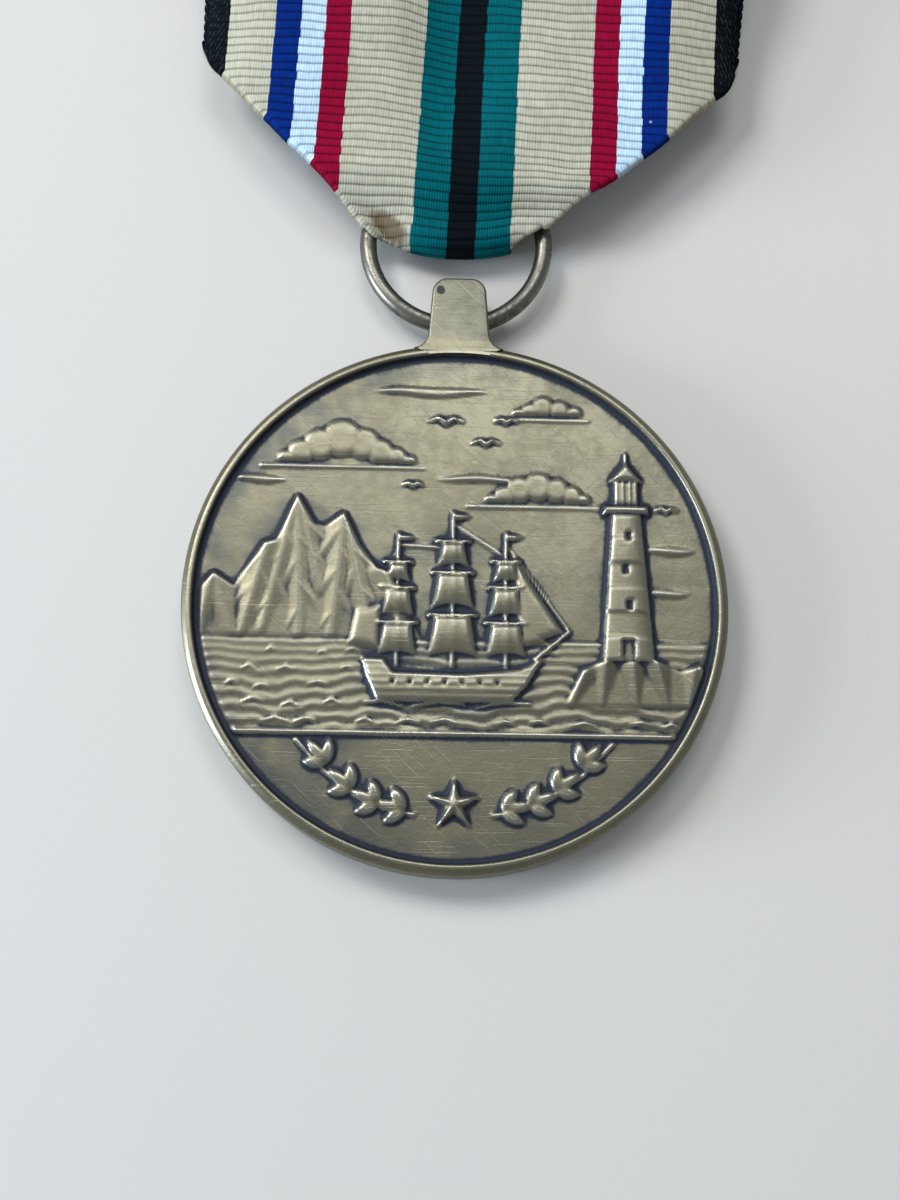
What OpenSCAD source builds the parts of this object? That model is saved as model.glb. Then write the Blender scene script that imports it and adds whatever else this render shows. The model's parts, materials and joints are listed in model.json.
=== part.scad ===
/* [Medallion] */
// Diameter of the disc
disc_d = 31.75; // [29:0.05:36]
// Thickness over the rims
disc_t = 2.8; // [2.5:0.1:3.4]
// Width of the raised rim on both faces
rim_w = 0.6; // [0.4:0.1:1.2]
// Height of the front rim over the sunken front field
rim_h = 0.45; // [0.3:0.05:0.6]
// Depth of the sunken field on the back
back_sink = 0.35; // [0.2:0.05:0.5]
// Chamfer along the disc's edge
edge_chamfer = 0.3; // [0.1:0.05:0.5]
// Diameter of the blank tablet in the middle of the back
tablet_d = 12; // [8:0.5:18]
// Height of the modelled relief over the front field
relief_h = 0.3; // [0.15:0.05:0.4]

/* [Tab] */
// Width of the tab where it leaves the disc
tab_w = 3.7; // [3.4:0.1:4.6]
// How much narrower the tab is at its top
tab_taper = 0.4; // [0:0.1:0.8]
// Height of the tab above the disc's edge
tab_h = 4.365; // [4:0.005:5.5]
// How far each face of the tab lies below the rim it runs on from
tab_inset = 0.02; // [0.02:0.01:0.25]
// Rounding of the tab's top corners
tab_corner = 0.95; // [0.4:0.05:1.2]
// Radius of the flare between tab and disc
flare_r = 1; // [0.6:0.1:1.4]
// Diameter of the hole drilled through the tab from side to side
tab_hole_d = 1.6; // [1.55:0.05:1.7]
// Distance from the tab's top down to the hole's axis
tab_hole_drop = 2.42; // [2:0.01:2.6]

/* [Jump ring] */
// Outside diameter of the ring
ring_d = 12; // [11.2:0.1:13.5]
// Thickness of the ring's wire
wire_d = 1.05; // [0.9:0.05:1.1]
// Width of the butt joint where the wire's ends meet
ring_split = 0.12; // [0.05:0.01:0.3]
// Sideways offset of the ring in the tab
ring_shift = -0.2; // [-0.3:0.05:0.3]
// Depth of the ring's top inside the fold of the ribbon
ring_tuck = 6.6; // [5.6:0.1:7]

/* [Ribbon] */
// Width of the ribbon
ribbon_w = 34.925; // [30:0.005:40]
// Thickness of one layer of ribbon
ribbon_t = 0.35; // [0.25:0.05:0.4]
// Length from the top fold to the pointed bottom fold
drape_l = 34.925; // [33:0.005:45]
// Width of the flat end of the point
tip_w = 6.1; // [4:0.1:6.6]
// Sideways run of the eased corner beside the flat end
tip_run = 2.95; // [2:0.05:3.5]
// Rise of that corner
tip_rise = 1.95; // [1.5:0.05:2.5]
// Angle of the turned-back corners to the ribbon's weft
fold_angle = 45; // [40:1:48]
// How far the back layer's diagonals are drawn in behind the front layer's
back_draw = 2.6; // [0:0.1:3.5]
// Height of the front layer's top surface where the fold bulges over the ring
bulge_h = 4.15; // [3.9:0.05:4.6]
// Distance from the point at which the bulge is reached
bulge_run = 4.5; // [4:0.1:7]
// Clockwise lean of the ribbon and its brooch as the medal lies
lean = 2.5; // [-4:0.5:4]

/* [Brooch] */
// Height of the brooch's back plate along the ribbon
plate_h = 9.5; // [8.5:0.1:11]
// Thickness of the back plate and its lips
plate_t = 0.5; // [0.4:0.05:0.7]
// Height of the pin hardware from its feet to the back plate
stand_h = 3.6; // [3.55:0.05:4.4]
// Length of each end lip over the front of the ribbon
lip_in = 1.1; // [0.6:0.1:1.6]
// Inset of the lips from the plate's upper and lower edges
lip_inset = 1.2; // [0.5:0.1:2]
// Thickness of the stiffening bar inside the ribbon's top fold
bar_t = 0.6; // [0.4:0.05:0.8]

/* [Pin] */
// Distance of the hinge rivet and of the catch from the back plate's ends
pin_inset = 6.1; // [5:0.1:8]
// Thickness of the pin's wire
pin_d = 0.9; // [0.7:0.05:1]
// Length of the pin's tapered point
point_l = 5.4; // [4.5:0.1:6]
// Height of the pin's square root beside the eye
root_h = 1; // [0.9:0.05:1.1]
// Diameter of the eye at the pin's root
eye_d = 2.2; // [2:0.1:2.6]
// Thickness of the eye
eye_t = 1.1; // [1:0.05:1.3]
// Diameter of the hinge rivet's shank
rivet_d = 1; // [0.8:0.05:1.1]
// Diameter of the hinge rivet's heads
rivet_head_d = 1.8; // [1.6:0.1:2.2]
// Thickness of each hinge ear
ear_t = 0.6; // [0.5:0.05:0.8]

/* [Catch] */
// Outside diameter of the hinge ears and the catch's housing
foot_d = 3.5; // [3.4:0.05:3.6]
// Length of the catch's housing along the pin
housing_l = 2.2; // [1.8:0.1:2.8]
// Diameter of the rotor inside the housing
rotor_d = 2.28; // [2.1:0.02:2.4]
// Width of the mouth through which the pin enters
mouth_w = 1.3; // [1.2:0.05:1.4]
// Thickness of the rotor's end flanges
flange_t = 0.4; // [0.3:0.05:0.6]
// Length of the rotor's thumb tab from the pin's axis
thumb_l = 2.6; // [2.2:0.1:2.8]

/* [Hidden] */
$fn = 96;
eps = 0.05;

// clearances
run_gap = 0.05;
lay_gap = 0.05;
turn_gap = 0.06;

// medallion and tab
disc_r = disc_d / 2;
hang_z = disc_t / 2;
field_z = disc_t - rim_h;
field_r = disc_r - rim_w;
rim_slope = 0.12;
tab_top = disc_r + tab_h;
tab_t = disc_t - 2 * tab_inset;
hole_y = tab_top - tab_hole_drop;

// ring: the hole's middle splits the rise of the bent wire inside the tab
ring_r = (ring_d - wire_d) / 2;
wire_rise = ring_r - sqrt(ring_r * ring_r - tab_w * tab_w / 4);
ring_y = hole_y - wire_rise / 2 + ring_r;

// ribbon: v runs from the point up to the top fold
tip_y = ring_y + ring_r - ring_tuck;
half_w = ribbon_w / 2;
pack_t = 2 * ribbon_t;
tip_r = hang_z;
corner_v = tip_rise + (half_w - tip_w / 2 - tip_run) * tan(fold_angle);
ply_end = corner_v + 2;
split_z = hang_z + 0.5;

// brooch stack, from the feet up
stem_z = foot_d / 2;
plate_top = stand_h + plate_t;
back_z = plate_top + lay_gap;
bar_z = back_z + ribbon_t + lay_gap;
front_z = bar_z + bar_t + lay_gap;
brooch_top = front_z + ribbon_t;
lip_z = brooch_top + lay_gap;
plate_v = drape_l - plate_h;
level_v = plate_v - 0.5;
top_r = (brooch_top - back_z) / 2;
bar_v0 = plate_v + 0.4;
bar_v1 = drape_l - top_r;
plate_half = half_w + 0.15 + plate_t;
pin_v = plate_v + plate_h * 0.55;
hinge_u = plate_half - pin_inset;
catch_u = -hinge_u;
root_l = foot_d / 2 + 0.3;

// Smooth step from a at v0 to b at v1
function ease(a, b, v0, v1, v) =
    let (t = max(0, min(1, (v - v0) / (v1 - v0))))
    a + (b - a) * t * t * (3 - 2 * t);

// Thickness of the front or back ply, doubled where the corners are turned in
function ply(v) = ease(pack_t, ribbon_t, corner_v, ply_end, v);

// Top surface of the front ply, and underside of the back ply
function front_top(v) =
    v < corner_v
    ? ease(2 * tip_r, bulge_h, tip_r, bulge_run, v)
    : ease(bulge_h, brooch_top, corner_v, level_v, v);
function back_low(v) = ease(0, back_z, corner_v, level_v, v);

// Places of the profile's points along the ribbon
runs = 22;
function place(i) = tip_r + (drape_l - top_r - tip_r) * i / runs;

function bend(v, z, r, from, to) =
    [for (i = [1:7]) let (a = from + (to - from) * i / 8) [v + r * cos(a), z + r * sin(a)]];

// Lie of the ribbon and brooch on the surface
module drape_lie() {
    translate([0, tip_y, 0]) rotate([0, 0, -lean]) children();
}

// Side profile drawn as (v, z), pushed out to both sides
module along_width(half) {
    rotate([90, 0, 90]) translate([0, 0, -half]) linear_extrude(2 * half) children();
}

// Cylinder along the ribbon's width, centred on u
module u_rod(r, l) {
    rotate([0, 90, 0]) cylinder(r = r, h = l, center = true);
}

// Cylinder along the ribbon's length, centred on v
module v_rod(r, l) {
    rotate([90, 0, 0]) cylinder(r = r, h = l, center = true);
}

module disc_solid() {
    rotate_extrude($fn = 180) polygon([
        [0, 0],
        [tablet_d / 2, 0],
        [tablet_d / 2 + rim_slope, back_sink],
        [field_r - rim_slope, back_sink],
        [field_r, 0],
        [disc_r - edge_chamfer, 0],
        [disc_r, edge_chamfer],
        [disc_r, disc_t - edge_chamfer],
        [disc_r - edge_chamfer, disc_t],
        [field_r, disc_t],
        [field_r - rim_slope, field_z],
        [0, field_z]
    ]);
}

module tab_outline() {
    top_half = (tab_w - tab_taper) / 2;
    flare_x = tab_w / 2 + flare_r;
    flare_y = sqrt(pow(disc_r + flare_r, 2) - flare_x * flare_x);
    touch = disc_r / (disc_r + flare_r);
    corner_y = tab_top - tab_corner;
    root_y = disc_r - 0.7 * rim_w;
    polygon([
        [-tab_w / 2, root_y],
        [tab_w / 2, root_y],
        [tab_w / 2, flare_y],
        [top_half, corner_y],
        [-top_half, corner_y],
        [-tab_w / 2, flare_y]
    ]);
    translate([-top_half + tab_corner, disc_r])
        square([2 * (top_half - tab_corner), tab_h]);
    for (s = [-1, 1]) {
        translate([s * (top_half - tab_corner), corner_y]) circle(r = tab_corner);
        difference() {
            polygon([
                [0, root_y],
                [s * flare_x * touch, flare_y * touch],
                [s * flare_x, flare_y],
                [0, flare_y]
            ]);
            translate([s * flare_x, flare_y]) circle(r = flare_r);
        }
    }
}

// Five-point star
module star(r) {
    polygon([
        for (i = [0:9])
            let (q = i % 2 == 0 ? r : r * 0.4)
            [q * sin(36 * i), q * cos(36 * i)]
    ]);
}

// Leaf with its stalk at the origin, pointing up
module leaf(l, w) {
    r = (l * l + w * w) / (4 * w);
    translate([0, l / 2]) intersection() {
        translate([r - w / 2, 0]) circle(r = r);
        translate([w / 2 - r, 0]) circle(r = r);
    }
}

// Square sail whose foot is wider than its head
module sail(x, y, w, h) {
    polygon([[x - w / 2, y], [x + w / 2, y], [x + w * 0.38, y + h], [x - w * 0.38, y + h]]);
}

// Three-masted ship with its waterline at y
module ship(y) {
    polygon([
        [-5.4, y + 2.6], [-4.6, y], [3, y], [5.2, y + 2.9],
        [3.6, y + 2.2], [-3.6, y + 1.9], [-4, y + 2.6]
    ]);
    for (mast = [[-3.4, 0.8], [-0.2, 1], [2.9, 0.82]]) {
        k = mast[1];
        sail(mast[0], y + 2.7, 3 * k, 2.7 * k);
        sail(mast[0], y + 2.9 + 2.7 * k, 2.5 * k, 2.3 * k);
        sail(mast[0], y + 3.1 + 5 * k, 1.9 * k, 1.7 * k);
    }
}

module lighthouse(x, y) {
    polygon([[x - 1.6, y], [x + 1.6, y], [x + 0.95, y + 9], [x - 0.95, y + 9]]);
    translate([x - 1.3, y + 9]) square([2.6, 0.5]);
    translate([x - 0.7, y + 9.5]) square([1.4, 1.5]);
    polygon([[x - 1, y + 11], [x + 1, y + 11], [x, y + 12.4]]);
}

// Hills, ship, lighthouse on its rocks and a star between leaves, as one step of relief
module front_relief() {
    horizon = -2.4;
    star_y = -11.9;
    translate([0, 0, field_z - eps]) linear_extrude(relief_h + eps) {
        intersection() {
            circle(r = field_r - 0.5);
            polygon([
                [-16, horizon], [-15.2, 0.2], [-14.1, 1.5], [-12.9, 0.7],
                [-11.3, 3.3], [-10.6, 3.5], [-9.4, 6.4], [-8.3, 4.5], [-7.7, 4.4],
                [-6.6, 5.3], [-5.6, 3.2], [-4.6, 1.9], [-3.8, 1.6], [-2, horizon]
            ]);
        }
        intersection() {
            circle(r = field_r - 0.5);
            polygon([
                [6.2, -6.2], [7.3, -4], [8.6, -3.4], [11.2, -3.2],
                [13, -4], [14.2, -3.6], [15.6, -6.2]
            ]);
        }
        ship(-6.2);
        lighthouse(10, -3.6);
        translate([0, star_y]) star(1.6);
        for (s = [-1, 1]) {
            for (i = [0:3]) {
                translate([s * (2.7 + 1.5 * i), star_y - 0.3 + 0.28 * i * i])
                    rotate([0, 0, -s * (75 - 12 * i)])
                    leaf(1.8, 0.8);
            }
        }
    }
}

// Pairs of laurel leaves that climb both sides of the blank tablet, open at top and bottom
module back_wreath() {
    leaves = 28;
    stalk = 0.2;
    stem_r = (tablet_d / 2 + field_r) / 2;
    for (i = [0:leaves - 1]) {
        turn = 360 * (i + 0.5) / leaves;
        side = i < leaves / 2 ? -1 : 1;
        if (abs(cos(turn)) < 0.95) {
            rotate([0, 0, turn]) translate([0, stem_r, back_sink / 3]) linear_extrude(back_sink) {
                rotate([0, 0, side * 60]) translate([0, stalk]) leaf(3, 1.2, $fn = 48);
                rotate([0, 0, side * 120]) translate([0, stalk]) leaf(2.7, 1.1, $fn = 48);
            }
        }
    }
}

module medallion() {
    color("darkkhaki") difference() {
        union() {
            disc_solid();
            translate([0, 0, hang_z - tab_t / 2]) linear_extrude(tab_t) tab_outline();
            front_relief();
            back_wreath();
        }
        translate([0, hole_y, hang_z]) u_rod(tab_hole_d / 2, 4 * tab_w);
    }
}

module jump_ring() {
    color("darkgoldenrod") translate([ring_shift, ring_y, hang_z]) difference() {
        rotate_extrude() translate([ring_r, 0]) circle(d = wire_d, $fn = 48);
        translate([-ring_split / 2, 0, -wire_d]) cube([ring_split, ring_d, 2 * wire_d]);
    }
}

// Outline of a layer whose diagonals are drawn in by a given distance
module ribbon_plan(draw) {
    corner = tip_w / 2 + tip_run;
    outline = [
        [tip_w / 2, 0],
        [tip_w / 2 + draw / 4, draw],
        [corner, tip_rise + draw],
        [half_w, corner_v + draw],
        [half_w, drape_l]
    ];
    polygon(concat(outline, [for (i = [len(outline) - 1:-1:0]) [-outline[i][0], outline[i][1]]]));
}

// The strip seen from its edge: round the point, and round the bar at the top
module ribbon_profile() {
    difference() {
        polygon(concat(
            [for (i = [0:runs]) [place(i), back_low(place(i))]],
            bend(drape_l - top_r, (back_z + brooch_top) / 2, top_r, -90, 90),
            [for (i = [runs:-1:0]) [place(i), front_top(place(i))]],
            bend(tip_r, tip_r, tip_r, 90, 270)
        ));
        polygon(concat(
            [for (i = [0:runs]) [place(i), back_low(place(i)) + ply(place(i))]],
            bend(drape_l - top_r, (back_z + brooch_top) / 2, top_r - ribbon_t, -90, 90),
            [for (i = [runs:-1:0]) [place(i), front_top(place(i)) - ply(place(i))]],
            bend(tip_r, tip_r, tip_r - pack_t, 90, 270)
        ));
    }
}

module ribbon() {
    color("wheat") drape_lie() intersection() {
        along_width(half_w + 1) ribbon_profile();
        union() {
            translate([0, 0, split_z]) linear_extrude(lip_z + 1) ribbon_plan(0);
            translate([0, 0, -1]) linear_extrude(split_z + 1) ribbon_plan(back_draw);
            translate([-half_w, corner_v + back_draw, -1])
                cube([ribbon_w, drape_l - corner_v - back_draw, lip_z + 2]);
        }
    }
}

module brooch_bar() {
    bar_w = ribbon_w - 0.4;
    color("gold") drape_lie()
        translate([-bar_w / 2, bar_v0, bar_z])
        cube([bar_w, bar_v1 - bar_v0, bar_t]);
}

module brooch_plate() {
    lip_l = plate_h - 2 * lip_inset;
    color("gold") drape_lie() {
        translate([-plate_half, plate_v, stand_h]) cube([2 * plate_half, plate_h, plate_t]);
        for (s = [-1, 1]) {
            mirror([s < 0 ? 1 : 0, 0, 0]) {
                translate([plate_half - plate_t, plate_v + lip_inset, stand_h])
                    cube([plate_t, lip_l, lip_z + plate_t - stand_h]);
                translate([plate_half - plate_t - lip_in, plate_v + lip_inset, lip_z])
                    cube([plate_t + lip_in, lip_l, plate_t]);
            }
        }
    }
}

// Two round ears on a foot soldered to the plate
module pin_joint() {
    inner = eye_t / 2 + run_gap;
    outer = inner + ear_t;
    foot_t = 0.4;
    color("gold") drape_lie() translate([hinge_u, pin_v, 0]) difference() {
        union() {
            translate([-foot_d / 2, -outer, stand_h - foot_t])
                cube([foot_d, 2 * outer, foot_t]);
            for (s = [-1, 1]) {
                translate([0, s * (inner + outer) / 2, stem_z]) {
                    v_rod(foot_d / 2, ear_t);
                    translate([-foot_d / 2, -ear_t / 2, 0])
                        cube([foot_d, ear_t, stand_h - stem_z]);
                }
            }
        }
        translate([0, 0, stem_z]) v_rod(rivet_d / 2, 4 * outer);
    }
}

module joint_rivet() {
    outer = eye_t / 2 + run_gap + ear_t;
    head_t = 0.3;
    color("goldenrod") drape_lie() translate([hinge_u, pin_v, stem_z]) {
        v_rod(rivet_d / 2, 2 * outer);
        for (s = [-1, 1]) {
            translate([0, s * (outer + head_t / 2), 0]) v_rod(rivet_head_d / 2, head_t);
        }
    }
}

module pin_stem() {
    past = housing_l / 2 + flange_t + 0.6;
    straight = 2 * hinge_u + past - point_l;
    color("silver") drape_lie() translate([hinge_u, pin_v, stem_z]) difference() {
        union() {
            v_rod(eye_d / 2, eye_t);
            rotate([0, -90, 0]) cylinder(d = pin_d, h = straight);
            translate([-root_l, -eye_t / 2, -root_h / 2]) cube([root_l, eye_t, root_h]);
            translate([-straight, 0, 0])
                rotate([0, -90, 0])
                cylinder(d1 = pin_d, d2 = pin_d / 6, h = point_l, $fn = 48);
        }
        v_rod(rivet_d / 2 + run_gap, 2 * eye_t);
    }
}

// Housing with a mouth towards the wearer's cloth
module catch_base() {
    web_w = foot_d * 0.6;
    color("gold") drape_lie() translate([catch_u, pin_v, stem_z]) difference() {
        union() {
            u_rod(foot_d / 2, housing_l);
            translate([-housing_l / 2, -web_w / 2, 0])
                cube([housing_l, web_w, stand_h - stem_z]);
        }
        u_rod(rotor_d / 2 + turn_gap, 2 * housing_l);
        translate([-housing_l, -mouth_w / 2, -foot_d])
            cube([2 * housing_l, mouth_w, foot_d]);
    }
}

// Slotted sleeve with two flanges and a thumb tab, shown open
module catch_rotor() {
    slot_w = mouth_w - 0.1;
    flange_d = foot_d - 0.3;
    body_l = housing_l + 2 * run_gap;
    color("goldenrod") drape_lie() translate([catch_u, pin_v, stem_z]) difference() {
        union() {
            u_rod(rotor_d / 2, body_l + eps);
            for (s = [-1, 1]) {
                translate([s * (body_l + flange_t) / 2, 0, 0]) u_rod(flange_d / 2, flange_t);
            }
            translate([-body_l / 2 - flange_t, -thumb_l, -0.4])
                cube([flange_t, thumb_l, 0.8]);
        }
        u_rod(slot_w / 2, 4 * housing_l);
        translate([-2 * housing_l, -slot_w / 2, -foot_d])
            cube([4 * housing_l, slot_w, foot_d]);
    }
}

medallion();
jump_ring();
ribbon();
brooch_bar();
brooch_plate();
pin_joint();
joint_rivet();
pin_stem();
catch_base();
catch_rotor();
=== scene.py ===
import contextlib
import json
import math

import bmesh
import bpy
import numpy as np
from mathutils import Matrix, Vector


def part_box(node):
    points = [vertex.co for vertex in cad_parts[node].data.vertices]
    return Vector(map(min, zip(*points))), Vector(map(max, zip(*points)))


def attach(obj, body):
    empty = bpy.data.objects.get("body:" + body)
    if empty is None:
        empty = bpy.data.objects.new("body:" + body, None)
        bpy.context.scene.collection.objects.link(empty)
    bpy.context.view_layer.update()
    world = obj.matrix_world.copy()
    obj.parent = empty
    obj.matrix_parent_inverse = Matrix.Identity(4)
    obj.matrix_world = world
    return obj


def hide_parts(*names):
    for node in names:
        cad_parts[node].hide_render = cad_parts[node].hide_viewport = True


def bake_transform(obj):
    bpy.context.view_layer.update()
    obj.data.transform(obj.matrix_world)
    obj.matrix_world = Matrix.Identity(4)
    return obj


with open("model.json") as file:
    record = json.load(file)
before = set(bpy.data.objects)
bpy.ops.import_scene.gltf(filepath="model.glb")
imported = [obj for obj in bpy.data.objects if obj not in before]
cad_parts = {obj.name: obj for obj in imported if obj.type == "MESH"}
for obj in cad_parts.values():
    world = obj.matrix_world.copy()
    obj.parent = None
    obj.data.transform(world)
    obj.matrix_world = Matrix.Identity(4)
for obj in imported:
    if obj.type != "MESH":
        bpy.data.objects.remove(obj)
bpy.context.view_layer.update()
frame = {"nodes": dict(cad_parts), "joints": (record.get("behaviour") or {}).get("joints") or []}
mm = 0.001


def boxInMm(node):
    low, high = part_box(node)
    return np.array(low) / mm, np.array(high) / mm


def jointNamed(name):
    return next(joint for joint in frame["joints"] if joint["name"] == name)


# the ring's box and the catch's axis say how the medal hangs and lies
ringLow, ringHigh = boxInMm("jump_ring")
wireRadius = (ringHigh[2] - ringLow[2]) / 2
ringCentre = (ringLow + ringHigh) / 2
ringRadius = (ringHigh[0] - ringLow[0]) / 2 - wireRadius
acrossAxis = jointNamed("catch_turn")["axis"]
leanAngle = math.atan2(-acrossAxis[1], acrossAxis[0])


def newObject(name, mesh):
    made = bpy.data.objects.new(name, mesh)
    bpy.context.scene.collection.objects.link(made)
    return made


def meshFrom(name, points, faces, smooth=True):
    mesh = bpy.data.meshes.new(name)
    mesh.from_pydata((np.asarray(points) * mm).tolist(), [], faces)
    mesh.update()
    if smooth:
        mesh.shade_smooth()
    return mesh


@contextlib.contextmanager
def meshEditor(mesh):
    work = bmesh.new()
    work.from_mesh(mesh)
    yield work
    work.to_mesh(mesh)
    work.free()


def finishedMesh(piece):
    # the piece's mesh with its modifiers applied, which are then taken off
    plan = bpy.context.evaluated_depsgraph_get()
    made = bpy.data.meshes.new_from_object(piece.evaluated_get(plan))
    piece.modifiers.clear()
    old = piece.data
    piece.data = made
    bpy.data.meshes.remove(old)
    return made


def ease(a, b, start, end, value):
    share = np.clip((value - start) / (end - start), 0, 1)
    return a + (b - a) * share * share * (3 - 2 * share)


def addPointValues(mesh, name, values):
    layer = mesh.attributes.new(name, "FLOAT_VECTOR", "POINT")
    layer.data.foreach_set("vector", np.asarray(values, np.float32).reshape(-1))


def addNode(tree, kind, inputs=None, **settings):
    # a new node whose inputs are linked to sockets or set to values
    made = tree.nodes.new(kind)
    for key, value in settings.items():
        setattr(made, key, value)
    for key, value in (inputs or {}).items():
        if isinstance(value, bpy.types.NodeSocket):
            tree.links.new(value, made.inputs[key])
        else:
            made.inputs[key].default_value = value
    return made


def calc(tree, operation, a, b=0.0, c=0.0, clamp=False):
    sockets = {0: a, 1: b, 2: c}
    return addNode(tree, "ShaderNodeMath", sockets, operation=operation, use_clamp=clamp).outputs[0]


def spread(tree, value, low, high, toLow=0.0, toHigh=1.0):
    sockets = {"Value": value, "From Min": low, "From Max": high, "To Min": toLow, "To Max": toHigh}
    return addNode(tree, "ShaderNodeMapRange", sockets, interpolation_type="SMOOTHSTEP").outputs[0]


def times(tree, a, b):
    return calc(tree, "MULTIPLY", a, b)


def larger(tree, a, b):
    return calc(tree, "MAXIMUM", a, b)


def mixColours(tree, share, first, second, blend="MIX"):
    sockets = {0: share}
    for key, colour in ((6, first), (7, second)):
        sockets[key] = colour if isinstance(colour, bpy.types.NodeSocket) else (*colour, 1)
    return addNode(tree, "ShaderNodeMix", sockets, data_type="RGBA", blend_type=blend).outputs[2]


def grey(tree, value):
    return addNode(tree, "ShaderNodeCombineColor", {0: value, 1: value, 2: value}).outputs[0]


def noise(tree, point, scale, detail=3.0, roughness=0.55, distortion=0.0):
    sockets = {
        "Vector": point, "Scale": scale, "Detail": detail,
        "Roughness": roughness, "Distortion": distortion,
    }
    return addNode(tree, "ShaderNodeTexNoise", sockets).outputs[0]


def stretched(tree, point, factors):
    return addNode(tree, "ShaderNodeVectorMath", {0: point, 1: factors}, operation="MULTIPLY").outputs[0]


def attributeParts(tree, name):
    source = addNode(tree, "ShaderNodeAttribute", attribute_name=name)
    return addNode(tree, "ShaderNodeSeparateXYZ", {0: source.outputs["Vector"]}).outputs


def newMaterial(name, **uniform):
    made = bpy.data.materials.new(name)
    made.use_nodes = True
    tree = made.node_tree
    tree.nodes.clear()
    shader = addNode(tree, "ShaderNodeBsdfPrincipled")
    for key, value in uniform.items():
        shader.inputs[key.replace("_", " ")].default_value = value
    addNode(tree, "ShaderNodeOutputMaterial", {"Surface": shader.outputs[0]})
    return made, tree, shader


def feed(tree, shader, **sockets):
    for key, value in sockets.items():
        tree.links.new(value, shader.inputs[key.replace("_", " ")])


def feedBump(tree, shader, height, strength, distance):
    sockets = {"Strength": strength, "Distance": distance * mm, "Height": height}
    feed(tree, shader, Normal=addNode(tree, "ShaderNodeBump", sockets).outputs[0])


def objectPoint(tree):
    return addNode(tree, "ShaderNodeTexCoord").outputs["Object"]


def newTree(name, kind, inputs, outputs):
    # a node tree with named inputs and outputs, and each input's identifier by its name
    tree = bpy.data.node_groups.new(name, kind)
    names = {}
    for label, (form, value) in inputs.items():
        socket = tree.interface.new_socket(label, in_out="INPUT", socket_type="NodeSocket" + form)
        if value is not None:
            socket.default_value = value
        names[label] = socket.identifier
    for label, form in outputs.items():
        tree.interface.new_socket(label, in_out="OUTPUT", socket_type="NodeSocket" + form)
    return tree, tree.nodes.new("NodeGroupInput").outputs, names


def useGroup(tree, group, inputs):
    return addNode(tree, "ShaderNodeGroup", inputs, node_tree=group).outputs


def makeTarnishGroup():
    # blotches of tarnish, with a fine grain beside them
    inputs = {"Point": ("Vector", None), "Scale": ("Float", 300.0), "Amount": ("Float", 0.5)}
    outputs = {"Mask": "Float", "Grain": "Float"}
    group, given = newTree("tarnish", "ShaderNodeTree", inputs, outputs)[:2]
    broad = noise(group, given["Point"], given["Scale"], 5.0, 0.62)
    fine = noise(group, given["Point"], times(group, given["Scale"], 9.0), 3.0, 0.6)
    mixed = calc(group, "MULTIPLY_ADD", fine, 0.35, times(group, broad, 0.65))
    mask = times(group, spread(group, mixed, 0.42, 0.62), given["Amount"])
    addNode(group, "NodeGroupOutput", {"Mask": mask, "Grain": fine})
    return group


def makeScratchGroup():
    # straight hair scratches that run one way
    inputs = {"Point": ("Vector", None), "Turn": ("Float", 0.6), "Density": ("Float", 0.5)}
    group, given = newTree("hairScratches", "ShaderNodeTree", inputs, {"Mask": "Float"})[:2]
    sockets = {"Vector": given["Point"], "Angle": given["Turn"]}
    turned = addNode(group, "ShaderNodeVectorRotate", sockets, rotation_type="Z_AXIS").outputs[0]
    lines = noise(group, stretched(group, turned, (260.0, 7500.0, 900.0)), 1.0, 1.0, 0.5, 0.2)
    mask = times(group, spread(group, lines, 0.64, 0.72), given["Density"])
    addNode(group, "NodeGroupOutput", {"Mask": mask})
    return group


tarnishGroup = makeTarnishGroup()
scratchGroup = makeScratchGroup()

cameraSetup = {
    "lens": 45.84,
    "target": (-0.352, -0.060, 2.5),  # mm
    "distance": 88.6,
    "turn": -6.22,
    "tilt": 14.73,
    "roll": 7.10,
}


def makeCamera(setup):
    turn, tilt, roll = (math.radians(setup[key]) for key in ("turn", "tilt", "roll"))
    facing = Matrix.Rotation(turn, 3, "Z") @ Matrix.Rotation(tilt, 3, "X") @ Matrix.Rotation(roll, 3, "Z")
    data = bpy.data.cameras.new("camera")
    data.lens = setup["lens"]
    data.sensor_width = 36
    data.clip_start = 0.005
    data.clip_end = 5
    camera = newObject("camera", data)
    place = (Vector(setup["target"]) + facing @ Vector((0, 0, setup["distance"]))) * mm
    camera.matrix_world = Matrix.Translation(place) @ facing.to_4x4()
    bpy.context.scene.camera = camera


studio = {
    "floorColour": (0.605, 0.6, 0.588),
    "floorReach": 900,
    "floorDrop": 0.02,  # the floor lies this far under the back, in mm
    "worldColour": (0.93, 0.96, 1.0),
    "worldStrength": 0.36,
    "lampAim": (0, 0.012, 0),
    # place and size in metres, power in watts, colour
    "lamps": {
        "keyLamp": ((-0.24, 0.2, 0.34), 0.16, 1.2, (1, 0.98, 0.95)),
        "topLamp": ((0.03, 0.24, 0.42), 0.2, 0.62, (0.97, 0.99, 1)),
        "sideLamp": ((-0.34, -0.05, 0.085), 0.13, 1.3, (0.72, 0.86, 1)),
    },
}


def makeLamp(name, target, place, size, power, colour):
    data = bpy.data.lights.new(name, "AREA")
    data.energy = power
    data.size = size
    data.color = colour
    lamp = newObject(name, data)
    aim = Vector(target) - Vector(place)
    lamp.matrix_world = Matrix.Translation(place) @ aim.to_track_quat("-Z", "Y").to_matrix().to_4x4()


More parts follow.
